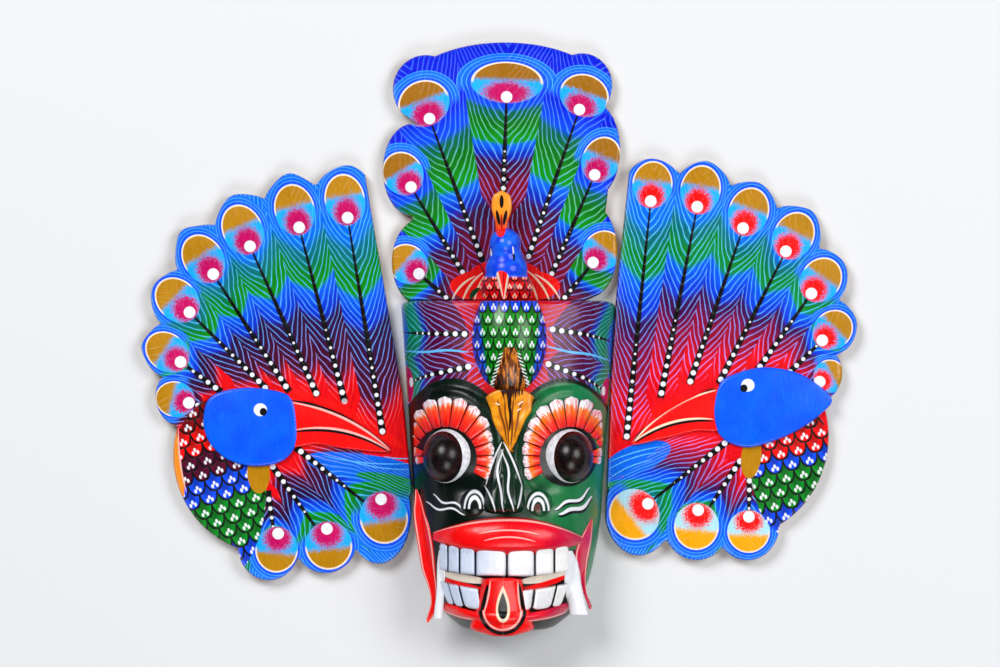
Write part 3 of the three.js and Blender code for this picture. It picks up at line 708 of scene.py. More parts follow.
def buildBlock():
    bm = bmesh.new()
    made = bmesh.ops.create_grid(bm, x_segments=block["columns"], y_segments=block["rows"], size=1)
    ends = {1: [], -1: []}
    for vert in made["verts"]:
        if abs(vert.co.y) > 0.9999:
            ends[1 if vert.co.y > 0 else -1].append((vert.co.x, vert))
    for end in ends.values():
        end.sort(key=lambda pair: pair[0])
    for vert in made["verts"]:
        vert.co = place(*blockVertex(vert.co.x, vert.co.y))
    for end in ends.values():
        bm.faces.new([vert for _, vert in end])
    bmesh.ops.recalc_face_normals(bm, faces=bm.faces)
    material = enamel("face paint", faceColour, 0.06)
    finishPiece(bm, "face_block", "face", [material, bareWood], 50, block["wall"])


def eyeWhite(pen, where):
    vein = pen.speckle(where, 0.3, 4.0)
    return pen.ramp(vein, [(0.3, paint(206, 210, 218)), (0.7, "white")]), 0.0


def pupilBlack(pen, where):
    cloud = pen.speckle(where, 0.35, 5.0)
    return pen.ramp(cloud,
                    [(0.45, paint(4, 3, 5)), (0.62, paint(40, 16, 14)), (0.75, paint(10, 6, 8))]), 0.0


def buildEyes():
    white = enamel("eye white", eyeWhite)
    black = enamel("pupil black", pupilBlack, 0.12, 0.1)
    for side, name in ((-1, "left"), (1, "right")):
        x = side * eyes["out"]
        level = frontAt(x, -eyes["down"])
        bm = bmesh.new()
        dome(bm, x - side * eyes["inward"], 1.5 - eyes["down"], level - 6, eyes["rx"], eyes["ry"],
             eyes["rise"] + 4)
        finishPiece(bm, name + "_eyeball", "face", [white], 60)
        bm = bmesh.new()
        dome(bm, x + side * pupils["shift"], pupils["lift"] - eyes["down"], level - 2, pupils["rx"],
             pupils["ry"], pupils["rise"] - 1)
        finishPiece(bm, name + "_pupil", "face", [black], 60)


petalShades = {
    "left": [(0.0, paint(214, 0, 8)), (0.3, paint(255, 22, 4)), (0.58, paint(255, 66, 14)),
             (0.7, paint(255, 140, 70)), (0.78, "white")],
    "right": [(0.0, paint(240, 10, 30)), (0.25, paint(255, 40, 10)), (0.5, paint(252, 110, 10)),
              (0.64, paint(255, 140, 40)), (0.72, "white")],
}


def petalPaint(name):
    def colouring(pen, where):
        across, along, _ = pen.sheet()
        where_x, where_y, _ = pen.split(where)
        spread = pen.join(pen.times(across, 11.0), pen.times(along, 1.2),
                          pen.times(pen.plus(where_x, where_y), 0.04))
        streak = pen.speckle(spread, 1.0, 1.0)
        level = pen.timesPlus(pen.minus(streak, 0.5), 0.5, along)
        colour = pen.ramp(level, petalShades[name])
        thin = pen.join(pen.times(across, 24.0), pen.times(along, 0.8), pen.times(where_x, 0.3))
        vein = pen.times(pen.below(0.56, pen.speckle(thin, 1.0, 1.0), 0.03), pen.below(along, 0.96, 0.04))
        colour = pen.lay(colour, paint(244, 70, 60), pen.times(vein, 0.8))
        # black along both sides of each petal is painted shade between the petals
        off = pen.away(across, 0.5)
        return pen.lay(colour, "black", pen.below(0.455, off, 0.02)), 0.0
    return enamel(name + " petal paint", colouring)


def addPetal(bm, side, angle, near, far, wide, lift):
    def spot(u, v):
        t = (v + 1) / 2
        body = wide * (0.6 + 0.5 * t)
        tip = math.sqrt(max(0.0, 1 - max(0.0, (t - 0.84) / 0.16) ** 2))
        swing = u * body * max(0.05, tip) * 0.5
        reach = near + (far - near) * t
        a = math.radians(angle)
        right = math.cos(a) * reach - math.sin(a) * swing
        up = math.sin(a) * reach + math.cos(a) * swing
        x = side * (eyes["out"] + right)
        y = -eyes["down"] + up
        crown = 1.6 * (1 - u * u) + 0.8 * math.sin(math.pi * t)
        x = clamp(x, -79.5, 79.5)
        return x, y, frontAt(x, y) + lift + crown
    before = set(bm.faces)
    laidSheet(bm, 8, 14, spot)
    if side > 0:
        bmesh.ops.reverse_faces(bm, faces=[face for face in bm.faces if face not in before])


def buildPetals():
    for side, name in ((-1, "left"), (1, "right")):
        bm = newSheets()
        count = fringe["petals"]
        for i in range(count + 1):
            angle = fringe["from"] + (fringe["to"] - fringe["from"]) * i / count
            reach = fringeReach(angle) - 0.5 + random.uniform(-1.2, 0.6)
            near = min(26, reach - 8)
            wide = math.radians(206 / count) * (near + reach) * 0.6
            addPetal(bm, side, angle, near, reach, wide, 0.4 + 0.8 * (i % 2))
        finishPiece(bm, name + "_petals", "face", [petalPaint(name)], 60, 2.4)


birdBody = {"x": 1, "down": 34, "halfWidth": 33, "halfLength": 52, "rise": 17}


def birdBodyColour(pen, where):
    squeezed = pen.vector("SUBTRACT", where, (1.5, 0, 0))
    found = pen.use(scaleGroup, where=squeezed, wide=9.2, tall=10.5)
    row = pen.over(pen.times(found["row"], 10.5), 90)
    x, y, _ = pen.split(squeezed)
    out = pen.calc("ABSOLUTE", x)
    colour = pen.ramp(row,
                      [(0, "blue"), (0.1, paint(6, 160, 10)), (0.3, paint(6, 150, 20)),
                       (0.62, paint(0, 120, 20)), (0.8, "blue")], "CONSTANT")
    colour = pen.lay(colour, "blue", pen.below(pen.timesPlus(y, 0.12, 27.0), out, 1.5))
    colour = scaleShade(pen, colour, found, (0.5, 0.4, 0.6))
    opened = pen.timesPlus(y, -0.3, -7.0)
    rump = pen.plus(pen.over(out, pen.calc("MAXIMUM", opened, 0.5)),
                    pen.times(pen.below(-38.0, y, 2.0), 4.0))
    plume = pen.speckle(pen.vector("MULTIPLY", where, (0.55, 0.09, 0.1)), 1.0, 3.0)
    brown = pen.ramp(plume,
                     [(0.38, "black"), (0.5, paint(112, 52, 8)), (0.6, paint(226, 132, 40)),
                      (0.68, paint(90, 40, 6))])
    colour = pen.lay(colour, brown, pen.below(pen.timesPlus(plume, 0.5, rump), 1.25, 0.05))
    ticks = pen.calc("FRACT", pen.timesPlus(out, 0.16, pen.times(y, 0.36)))
    tickMask = pen.times(pen.below(pen.away(out, pen.plus(opened, 1.0)), 1.7, 0.3),
                         pen.below(ticks, 0.36, 0.06))
    tickMask = pen.times(tickMask, pen.below(y, -44.0, 1.0))
    colour = pen.lay(colour, "white", tickMask)
    return colour, found["crown"]


def buildBird():
    level = frontAt(0, -birdBody["down"])
    bm = bmesh.new()
    dome(bm, birdBody["x"], -birdBody["down"], level - 12, birdBody["halfWidth"], birdBody["halfLength"],
         birdBody["rise"] + 12, 64, 48)
    cutFlat(bm, place(0, -clearance), (0, 1, 0))
    finishPiece(bm, "bird_body", "face", [enamel("bird body paint", birdBodyColour)], 50)


def tailColour(pen, where):
    items = [((-9.3, -82.5), (-0.8, -118.1), 0.4, 0.3, 0.9, "brown"),
             ((-3.4, -80.8), (0.8, -123.2), 0, 0.4, 0.8, "brown"),
             ((4.2, -80.8), (2.5, -123.2), 0, 0.3, 0.9, "brown"),
             ((11.9, -82.5), (5.1, -114.8), -0.4, 0.3, 0.8, "brown"),
             ((0.8, -70.5), (1.7, -109.6), 0, 0.5, 1.2, "black")]
    cloud = pen.speckle(where, 0.12, 3.0)
    base = pen.ramp(cloud, [(0.3, paint(206, 118, 6)), (0.7, paint(246, 160, 24))])
    colour = strokes(pen, where, base, items)
    x, y, _ = pen.split(where)
    streak = pen.speckle(pen.vector("MULTIPLY", where, (0.9, 0.05, 0.3)), 1.0, 2.0)
    low = pen.timesPlus(streak, -26.0, pen.plus(y, 98.0))
    low = pen.timesPlus(pen.away(x, 1.5), -0.9, low)
    colour = pen.lay(colour, paint(44, 16, 6), pen.below(0.0, low, 1.5))
    ticks = [((-11, -85.8), (-6.8, -87.5), 0, 0, 0.6, "cream"),
             ((7.6, -87.5), (12.8, -84.1), 0, 0, 0.6, "cream"),
             ((6.8, -92.6), (11, -90.1), 0, 0, 0.5, "cream"),
             ((-6.8, -75.6), (-4.2, -82.5), 0, 0, 0.5, "orange")]
    return strokes(pen, where, colour, ticks), 0.0


def buildTail():
    bm = newSheets()

    def spot(u, v):
        t = (1 - v) / 2
        half = 20 * (1 - t) ** 0.9 + 0.3
        x = 1.5 + u * half
        y = -74 - 53 * t - 7 * abs(u) ** 3 * (1 - t)
        return x, y, frontAt(x, y) + 4.5 + 2 * (1 - u * u) - 3 * t
    laidSheet(bm, 12, 26, spot)
    finishPiece(bm, "bird_tail", "face", [enamel("tail paint", tailColour)], 60, 5)


def noseColour(pen, where):
    colour = browColour(pen, where)
    items = [((-5.1, -118.1), (-18.7, -154.7), -1.4, 0, 0.8, "white"),
             ((-20, -154.7), (-10.6, -176.8), 1.2, 0, 0.8, "white"),
             ((-5.1, -124.1), (-2.5, -176.8), -4.2, 1.0, 0.9, "white"),
             ((-4.2, -124.1), (3.4, -176.8), 0.6, -1.4, 0.9, "white"),
             ((-4.2, -118.1), (11.5, -154.7), 1.2, 0, 0.8, "white"),
             ((11.5, -153.8), (7.6, -174.2), 0.8, 0, 0.8, "white")]
    return strokes(pen, where, colour, items), 0.0


def nostrilColour(pen, where):
    colour = browColour(pen, where)
    for spot, wide in (((-28.1, -174.2), 8.4), ((25.1, -175.9), 8.8)):
        colour = arch(pen, where, colour, spot, wide, 14.5, 0.8, "white")
        colour = arch(pen, where, colour, spot, wide * 0.56, 9.6, 0.9, "white")
    return strokes(pen, where, colour, [((24.6, -170), (24.6, -176.8), 0, 0, 2.6, "rust")]), 0.0


def buildNose():
    bm = newSheets()

    def spot(u, v):
        t = (1 - v) / 2
        half = 2 + 17 * math.sin(math.pi / 2 * t) ** 0.8 - 4 * max(0, t - 0.9) / 0.1
        x = -4 + u * half
        y = -116 - 62 * t
        ridge = (1 - abs(u) ** 1.9) ** 0.8
        fall = math.sqrt(max(0.0, 1 - max(0.0, (t - 0.8) / 0.2) ** 2))
        folds = 1.3 * math.cos(u * math.pi * 3) * (1 - u * u) * min(1, 2 * t)
        return x, y, frontAt(x, y) - 1 + (2 + 13 * t ** 0.8) * ridge * fall + folds
    laidSheet(bm, 36, 48, spot)
    finishPiece(bm, "nose_leaf", "face", [enamel("nose paint", noseColour)], 70, 3)
    bm = bmesh.new()
    for x in (-28, 25):
        dome(bm, x, -171, frontAt(x, -171) - 5, 12.5, 13.5, 11, 40, 26)
    finishPiece(bm, "nostrils", "face", [enamel("nostril paint", nostrilColour)], 60)


def lipRise(v, raise_):
    return raise_ * max(0.0, 1 - abs(v) ** 2.4) ** 0.6 - 1.5


def redLip(pen, where, rims):
    across, along, _ = pen.sheet()
    cloud = pen.speckle(where, 0.08, 3.0)
    share = pen.timesPlus(cloud, 0.3, pen.minus(across, 0.15))
    colour = pen.ramp(share,
                      [(0.1, paint(255, 6, 4)), (0.6, paint(240, 6, 24)), (0.95, paint(200, 8, 64))])
    for low, high in rims:
        level = pen.away(along, (low + high) / 2)
        colour = pen.lay(colour, "pink", pen.below(level, (high - low) / 2, 0.015))
    return colour


def upperLipColour(pen, where):
    colour = redLip(pen, where, [(0.9, 0.95)])
    items = [((-24.6, -194.7), (26.3, -195.5), 3.4, 0, 0.6, "pink"),
             ((-20.4, -200.6), (22.9, -201.4), 3.6, 0, 0.6, "pink")]
    return strokes(pen, where, colour, items), 0.0


def lowerLipColour(pen, where):
    return redLip(pen, where, [(0.1, 0.2)]), 0.0


def buildLips():
    bm = newSheets()

    def upper(u, v):
        x = 1 + 65 * u
        top = -181 - (14 if u < 0 else 19.5) * abs(u) ** 2.1
        bottom = -213 + (12 if u < 0 else 10) * abs(u) ** 2.2
        y = (top + bottom) / 2 + (top - bottom) / 2 * v
        shut = (1 - abs(u) ** 6)
        return x, y, frontAt(x, y) + 1.5 + lipRise(v, 9) * shut - 2 * (1 - shut)
    laidSheet(bm, 80, 16, upper)
    finishPiece(bm, "upper_lip", "face", [enamel("upper lip paint", upperLipColour)], 70, 3)
    bm = newSheets()

    def lower(u, v):
        x = -2 + 54 * u
        bottom = -270.5 + 6 * u * u
        top = -262 + 12 * abs(u) ** 2.5
        y = (top + bottom) / 2 + (top - bottom) / 2 * v * max(0.05, 1 - abs(u) ** 10) ** 0.5
        reach = 0.92 * halfWidthAt(-y)
        return x, y, frontAt(clamp(x, -reach, reach), y) + 1.5 + lipRise(v, 7) - 2 * abs(u) ** 6
    laidSheet(bm, 70, 12, lower)
    finishPiece(bm, "lower_lip", "face", [enamel("lower lip paint", lowerLipColour)], 70, 3)


teeth = {
    "gap": 0.35, "raise": 7,
    "upper": {"left": -58, "right": 51, "top": -208, "bottom": -231.6, "curve": 5, "fan": 0,
              "shares": [0, 0.068, 0.158, 0.279, 0.523, 0.738, 0.887, 1]},
    "lower": {"left": -55, "right": 48, "top": -242, "bottom": -261, "curve": 6.5, "fan": 0.06,
              "shares": [0, 0.067, 0.152, 0.31, 0.5, 0.738, 0.91, 1]},
}


def toothColour(pen, where):
    across, along, _ = pen.sheet()
    x = pen.split(where)[0]
    cloud = pen.speckle(where, 0.12, 3.0)
    # bluish grey on the left, whiter on the right: painted shade on the left and painted light on the
    # right
    share = pen.timesPlus(cloud, 0.3, pen.timesPlus(x, 0.006, 0.35))
    colour = pen.ramp(share,
                      [(0.2, paint(208, 220, 244)), (0.6, paint(240, 241, 245)),
                       (0.9, paint(250, 248, 244))])
    side = pen.away(across, 0.5)
    colour = pen.lay(colour, "black", pen.below(0.49, side, 0.008))
    # grey along the top of each tooth is painted shade
    root = pen.below(0.93, along, 0.03)
    return pen.lay(colour, paint(150, 150, 160), pen.times(root, 0.5)), 0.0


def buildTeeth():
    material = enamel("tooth paint", toothColour, 0.6, 0.2)
    for row in ("upper", "lower"):
        bm = newSheets()
        sizes = teeth[row]
        width = sizes["right"] - sizes["left"]
        for first, last in zip(sizes["shares"], sizes["shares"][1:]):
            left = sizes["left"] + width * first + teeth["gap"] / 2
            right = sizes["left"] + width * last - teeth["gap"] / 2

            def spot(u, v):
                x = ((left + right) / 2 + (right - left) / 2 * u) * (1 + sizes["fan"] * v)
                lift = sizes["curve"] * (x / 55) ** 2
                y = (sizes["top"] + sizes["bottom"]) / 2 + lift + (sizes["top"] - sizes["bottom"]) / 2 * v
                rooted = v if row == "upper" else -v
                y -= math.copysign(3.2 * abs(u) ** 4 * clamp(rooted) ** 2, v)
                rise = teeth["raise"] * (1 - abs(u) ** 12) ** 0.5 * (1 - abs(v) ** 12) ** 0.5
                return x, y, frontAt(x, y) - 0.5 + rise
            laidSheet(bm, 14, 16, spot)
        finishPiece(bm, row + "_teeth", "face", [material], 75, 2)


def tongueColour(pen, where):
    cloud = pen.speckle(where, 0.1, 3.0)
    colour = pen.ramp(cloud, [(0.3, paint(232, 4, 10)), (0.7, paint(255, 10, 6))])
    middleSpot = (-4.7, -259.2)
    colour = arch(pen, where, colour, middleSpot, 18.6, 19.4, 1.5, "black", True)
    colour = arch(pen, where, colour, middleSpot, 15.9, 16.6, 0.8, "pink", True)
    items = [((-23.1, -260.9), (-17, -237.2), -0.8, 0, 2.0, "black"),
             ((13.9, -260.9), (9.3, -237.2), 0.8, 0, 2.0, "black"),
             ((-20.4, -261.8), (-14.9, -233.8), -0.8, 0, 0.8, "pink"),
             ((11, -261.8), (8.1, -233.8), 0.8, 0, 0.8, "pink")]
    colour = strokes(pen, where, colour, items)
    colour = pen.lay(colour, "cream", drop(pen, where, (-4.4, -238), 31.5, 5.9))
    return pen.lay(colour, "black", drop(pen, where, (-4.5, -243.5), 23, 3.9)), 0.0


def buildTongue():
    bm = newSheets()

    def spot(u, v):
        t = (1 - v) / 2
        half = 17.5 + 9.5 * clamp((t - 0.05) / 0.8) ** 1.05
        half *= math.sqrt(max(0.3, 1 - max(0.0, (t - 0.86) / 0.14) ** 3))
        x = -5 + u * half
        y = -233 - 48.5 * t
        back = max(frontAt(x, max(y, -272)), 62)
        crown = 12 * (1 - abs(u) ** 5) ** 0.5 * (1 - 0.25 * t)
        return x, y + 1.5 * u * u * t, back - 1 + crown - 12 * max(0, t - 0.85) * 3
    laidSheet(bm, 32, 40, spot)
    finishPiece(bm, "tongue", "face", [enamel("tongue paint", tongueColour)], 75, 6)


def flapColour(pen, where):
    across = pen.sheet()[0]
    x = pen.split(where)[0]
    colour = pen.ramp(pen.timesPlus(x, 0.006, 0.5), [(0.2, paint(250, 6, 6)), (0.8, paint(216, 4, 66))])
    outer = pen.away(pen.away(across, 0.5), 0.4)
    return pen.lay(colour, "pink", pen.below(outer, 0.045, 0.02)), 0.0


def fangColour(pen, where):
    cloud = pen.speckle(where, 0.15, 3.0)
    colour = pen.ramp(cloud, [(0.3, paint(240, 241, 246)), (0.6, "white")])
    return strokes(pen, where, colour, [((58.6, -221.8), (68, -259.2), 1.6, 0, 0.7, "magenta")]), 0.0


def ribbon(bm, points, across, along,
           crown):  # points: place on the photograph's plane, height, half width
    def spot(u, v):
        t = (1 - v) / 2 * (len(points) - 1)
        i = min(int(t), len(points) - 2)
        t -= i
        near = [Vector(points[clamp(i + k, 0, len(points) - 1)]) for k in (-1, 0, 1, 2)]
        x, y, z, half = curve(*near, t)
        half = max(0.15, half)
        x += u * half
        return x, y, max(z, frontAt(x, y) + 0.8) + crown * half * (1 - u * u)
    laidSheet(bm, across, along, spot)


flaps = {
    "left": [(-77.5, -158.9, 34, 0.8), (-76, -169.2, 36, 3), (-75, -179.3, 37, 4.8),
             (-72.6, -190.4, 38, 6.1),
             (-69.4, -209.1, 40, 6.4), (-67.2, -226.1, 41, 5.6), (-63.8, -241.4, 42, 3.5),
             (-62.7, -254.2, 42, 2.5), (-65, -264.3, 41, 2.8), (-68, -271.1, 40, 1.0)],
    "right": [(70.7, -183.6, 30, 0.4), (68, -192.9, 34, 3.2), (65.5, -201.4, 38, 5.2),
              (62.9, -210.8, 40, 6.2),
              (62, -220.2, 42, 5.2), (62.5, -232, 43, 3), (64.6, -245.7, 43, 1.6),
              (69.7, -260.1, 42, 0.8)],
}
fangs = {
    "left": [(-56.5, -209.9, 56, 1.8), (-56.5, -221.8, 55, 3.2), (-56.9, -243.9, 52, 3.3),
             (-58.2, -259.2, 49, 3.7), (-59.1, -267.8, 47, 3.4)],
    "right": [(52.3, -209.9, 58, 1.8), (53.5, -221.8, 57, 5.6), (54.8, -240.5, 54, 7.2),
              (57.8, -255.8, 50, 7.4), (59.9, -264.3, 48, 7.8)],
}


def buildFlaps():
    flapMaterial = enamel("flap paint", flapColour)
    fangMaterial = enamel("fang paint", fangColour, 0.4, 0.2)
    for side in ("left", "right"):
        bm = newSheets()
        ribbon(bm, flaps[side], 12, 48, 0.15)
        finishPiece(bm, side + "_flap", "face", [flapMaterial], 70, 9)
        bm = newSheets()
        ribbon(bm, fangs[side], 12, 40, 0.4)
        finishPiece(bm, side + "_fang", "face", [fangMaterial], 70, 8)


# Boards: rings of one outline, which lobes and straight edges give
board = {"thickness": 12, "ease": 2.5, "steps": 480, "frontRings": 34}


def lobeReach(centre, way, lobe):
    x, y, wide, long, turn, tip = lobe
    c, s = math.cos(turn), math.sin(turn)
    ox, oy = centre[0] - x, centre[1] - y
    ax, ay = (ox * c + oy * s) / wide, (-ox * s + oy * c) / long
    bx, by = (way[0] * c + way[1] * s) / wide, (-way[0] * s + way[1] * c) / long
    a = bx * bx + by * by
    b = ax * bx + ay * by
    inside = b * b - a * (ax * ax + ay * ay - 1)
    if inside < 0:
        return 0
    reach = (-b + math.sqrt(inside)) / a
    if reach <= 0:
        return 0
    return reach + tip * max(0, ay + by * reach) ** 12


def edgeReach(centre, way, a, b):
    across = Vector((b[1] - a[1], a[0] - b[0])).normalized()
    gap = across.dot(Vector((a[0] - centre[0], a[1] - centre[1])))
    speed = across.dot(Vector(way)) * math.copysign(1, gap)
    return abs(gap) / speed if speed > 1e-6 else 1e9


def buildBoard(name, node, shape, material, side=1):
    centre = shape["centre"]
    bm = bmesh.new()
    made = bmesh.ops.create_circle(bm, cap_ends=True, segments=board["steps"], radius=1)
    angles = {vert: math.atan2(vert.co.y, vert.co.x) for vert in made["verts"]}
    reaches = {}
    for angle in angles.values():
        way = (math.cos(angle), math.sin(angle))
        reach = max(lobeReach(centre, way, lobe) for lobe in shape["lobes"])
        reaches[round(angle, 4)] = min([reach] + [edgeReach(centre, way, a, b) for a,
                                                  b in shape["edges"]])

    def setRing(ring, share, inset, height):
        for vert, angle in ring.items():
            reach = reaches[round(angle, 4)] * share - inset
            out, up = centre[0] + math.cos(angle) * reach, centre[1] + math.sin(angle) * reach
            crown = 0 if height < board["thickness"] - 0.1 else shape["crown"](out, up)
            vert.co = place(side * out, up, height + crown)

    top, ease = board["thickness"], board["ease"]
    rings = [(0.04, 0, 0), (0.5, 0, 0), (1, 0.6, 0), (1, 0, 0.6), (1, 0, top - ease)]
    for step in (1, 2, 3, 4):
        bend = math.pi / 2 * step / 4
        rings.append((1, ease * (1 - math.cos(bend)), top - ease * (1 - math.sin(bend))))
    count = board["frontRings"]
    rings += [(1 - 0.985 * i / count, 3.2, top) for i in range(1, count + 1)]
    ring = angles
    setRing(ring, *rings[0])
    edges = [edge for edge in bm.edges]
    for values in rings[1:]:
        moved = bmesh.ops.extrude_edge_only(bm, edges=edges)["geom"]
        found = [item for item in moved if isinstance(item, bmesh.types.BMVert)]
        edges = [item for item in moved if isinstance(item, bmesh.types.BMEdge)]
        known = {tuple(round(c, 7) for c in vert.co): angle for vert, angle in ring.items()}
        ring = {vert: known[tuple(round(c, 7) for c in vert.co)] for vert in found}
        setRing(ring, *values)
    bmesh.ops.contextual_create(bm, geom=edges)
    bmesh.ops.recalc_face_normals(bm, faces=bm.faces)
    for face in bm.faces:
        if face.calc_center_median().z < (top - ease * 0.6) * mm:
            face.material_index = 1
    finishPiece(bm, name, node, [material, bareWood], 45)


def crownOf(spots, wide, long, rise=1.1):  # gentle swellings under the feather eyes
    def crown(out, up):
        lift = 0
        for x, y in spots:
            ring = ((out - x) / wide) ** 2 + ((up - y) / long) ** 2
            lift = max(lift, rise * max(0, 1 - ring))
        return lift - 0.5
    return crown


# The crest board
crestFan = {
    **fanBase,
    "feathers": [
        ((-0.8, 185.3), (-4.2, 89.2), 30.5, 17.5), ((-71.4, 167.4), (-21.2, 33.1), 22, 19.5),
        ((64.6, 174.2), (17, 36.5), 21, 18), ((-89.2, 108), (-35.7, 19.6), 17, 19),
        ((79, 119.8), (34.9, 17.8), 16, 20), ((-85, 31.4), (-49.3, 0), 16, 18),
        ((79.9, 42.5), (45.9, 0), 16, 18),
    ],
    "ground": [(0.1, paint(0, 26, 226)), (0.22, paint(0, 70, 246)), (0.28, paint(0, 104, 70)),
               (0.38, paint(0, 116, 16)),
               (0.54, paint(0, 150, 6)), (0.58, paint(0, 96, 245)), (0.66, paint(0, 40, 190)),
               (0.73, paint(66, 0, 60)), (0.95, paint(132, 0, 36))],
    "barbs": [(0, paint(50, 110, 255)), (0.26, paint(64, 150, 255)), (0.4, paint(96, 196, 150)),
              (0.58, paint(80, 170, 255)), (0.75, paint(100, 160, 245)), (0.95, paint(140, 120, 230))],
    "spacing": 8.4, "barbsTo": 1.1, "curl": 0.02, "follow": 0.14, "quill": 2.4, "dots": 2.2,
    "dotFrom": 0.6, "dotRate": 1, "dot": 4.8, "halo": 1.42, "eyeTip": "darkOchre", "lowEyes": 60,
}
crestStrokes = [
    ((-49.3, 12.8), (44.2, 12.8), 0, 0, 16, "red"), ((-32.3, 22.9), (27.2, 22.9), 0, 0, 12, "red"),
    ((-47.6, 0.8), (-27.2, 21.2), 3, 0, 0.9, "cream"), ((-39.1, -1.7), (-20.4, 24.6), 3, 0, 0.9, "cream"),
    ((-28.9, -1.7), (-15.3, 26.3), 2.5, 0, 0.9, "cream"),
    ((44.2, 0.8), (22.1, 22.9), -3, 0, 0.9, "cream"), ((35.7, -1.7), (15.3, 26.3), -3, 0, 0.9, "cream"),
    ((25.5, -1.7), (10.2, 26.3), -2.5, 0, 0.9, "cream"), ((-32.3, 0.8), (-23.8, 11), 1.5, 0, 2.2, "leaf"),
    ((-18.7, 12.8), (-25.5, 33.1), -2, 0, 1.0, "darkRed"),
]


def crestColour(pen, where):
    colour, height = featherColour(pen, where, crestFan)
    return strokes(pen, where, colour, crestStrokes), height


def buildCrest():
    half, tall = 85, 219
    shares = [(-0.03, 0.812, 1, 0.19), (-0.82, 0.82, 0.33, 0.133), (0.74, 0.835, 0.3, 0.125),
              (-0.96, 0.508, 0.29, 0.178),
              (0.84, 0.586, 0.28, 0.187), (-0.86, 0.151, 0.3, 0.17), (0.82, 0.195, 0.27, 0.18),
              (0, 0.06, 0.95, 0.1), (0, 103 / 219, 1, 0.52)]
    lobes = [(x * half, y * tall, rx * half, ry * tall, 0, 0) for x, y, rx, ry in shares]
    spots = [feather[0] for feather in crestFan["feathers"]]
    shape = {"centre": (0, 103), "lobes": lobes, "edges": [((-1, 0.3), (1, 0.3))],
             "crown": crownOf(spots, 20, 20)}
    buildBoard("crest_board", "crest", shape, enamel("crest paint", crestColour))


# The peacock's head in front of the crest
def peacockColour(pen, where):
    y = pen.split(where)[1]
    cloud = pen.speckle(where, 0.09, 3.0)
    colour = pen.ramp(cloud, [(0.35, paint(0, 60, 226)), (0.65, paint(20, 104, 255))])
    shifted = pen.vector("ADD", where, (3, 0, 0))
    found = pen.use(scaleGroup, where=shifted, wide=8.5, tall=8)
    breast = scaleShade(pen, "red", found, (0.4, 0.3, 0.8), "darkRed", "cream")
    colour = pen.lay(colour, breast, pen.below(y, 20.0, 1.0))
    items = [((4.2, 40.8), (4.6, 33.1), 0.4, 0, 1.0, "black"),
             ((3.9, 45.9), (4.6, 39.1), 0, 0, 0.7, "white"),
             ((-14.9, 44.2), (-14, 37.4), 0, 0, 0.8, "white"),
             ((-6.4, 67.1), (-6.4, 53.5), 0, 0, 4.2, "red")]
    return strokes(pen, where, colour, items), pen.times(found["crown"], pen.below(y, 20.0, 1.0))


def combColour(pen, where):
    y = pen.split(where)[1]
    colour = pen.ramp(pen.over(pen.minus(y, 55.0), 38.0),
                      [(0, "red"), (0.3, paint(240, 90, 16)), (0.55, paint(255, 150, 34))])
    items = [((-5.5, 89.2), (-5.5, 78.2), 0, 0, 1.8, "black"),
             ((-9.8, 76.5), (-7.2, 63.8), 0, 0, 1.5, "black"),
             ((-1.3, 76.5), (-3.8, 63.8), 0, 0, 1.5, "black"),
             ((-5.5, 73.1), (-5.5, 59.5), 0, 0, 0.8, "darkRed")]
    return strokes(pen, where, colour, items), 0.0


def peacockBeakColour(pen, where):
    items = [((-11.5, 34.9), (-3.8, -2.5), -0.3, 0, 1.3, "cream"),
             ((2.1, 34.9), (-3.4, -2.5), 0.3, 0, 1.3, "cream"),
             ((-4.2, 24.6), (-3.8, 9.3), 0, 0, 0.5, "darkRed")]
    return strokes(pen, where, "red", items), 0.0


def buildPeacock():
    bm = bmesh.new()
    bodies = [(-1.5, 11, 36, 22.5, 17, 22), (-1.5, 26, 37, 18, 16, 19), (-2, 34, 37, 14.5, 18, 16.5),
              (-2.5, 48, 39, 13.5, 13.5, 17.5)]
    for body in bodies:
        dome(bm, *body, 40, 26)
    piece = finishPiece(bm, "peacock_neck", "peacock_head", [enamel("peacock paint", peacockColour)], 80)
    whole = piece.modifiers.new("one skin", "REMESH")
    whole.mode = "VOXEL"
    whole.voxel_size = 1.1 * mm
    even = piece.modifiers.new("even", "SMOOTH")
    even.iterations = 12
    applyModifiers(piece)
    bm = bmesh.new()
    bm.from_mesh(piece.data)
    cutFlat(bm, place(0, 0.4), (0, -1, 0))
    cutFlat(bm, place(0, 0, 14), (0, 0, -1))
    bm.to_mesh(piece.data)
    bm.free()
    piece.data.shade_smooth()
    piece.data.set_sharp_from_angle(angle=math.radians(60))
    bm = bmesh.new()
    comb = [(-9.5, 54), (-11, 66), (-14, 78), (-13, 88), (-9, 91.5), (-5.5, 93), (-2, 91.5), (2, 88),
            (3, 78), (0, 66), (-1.5, 54)]
    plate(bm, smoothOutline(comb, 6), 30, 39, 2.6)
    finishPiece(bm, "peacock_comb", "peacock_head", [enamel("comb paint", combColour)], 45)
    bm = bmesh.new()
    start, tip = place(-4.6, 28.5, 47), place(-3.6, 1.2, 67)
    turn = (tip - start).to_track_quat("Z", "Y").to_matrix().to_4x4()
    matrix = Matrix.Translation((start + tip) / 2) @ turn @ Matrix.Diagonal((1.0, 0.8, 1, 1))
    bmesh.ops.create_cone(bm, cap_ends=True, segments=28, radius1=7.6 * mm, radius2=0.6 * mm,
                          depth=(tip - start).length, matrix=matrix)
    rings = [edge for edge in bm.edges if len(edge.link_faces) == 2]
    bmesh.ops.subdivide_edges(bm, edges=rings, cuts=3)
    finishPiece(bm, "peacock_beak", "peacock_head", [enamel("peacock beak paint", peacockBeakColour)], 50)


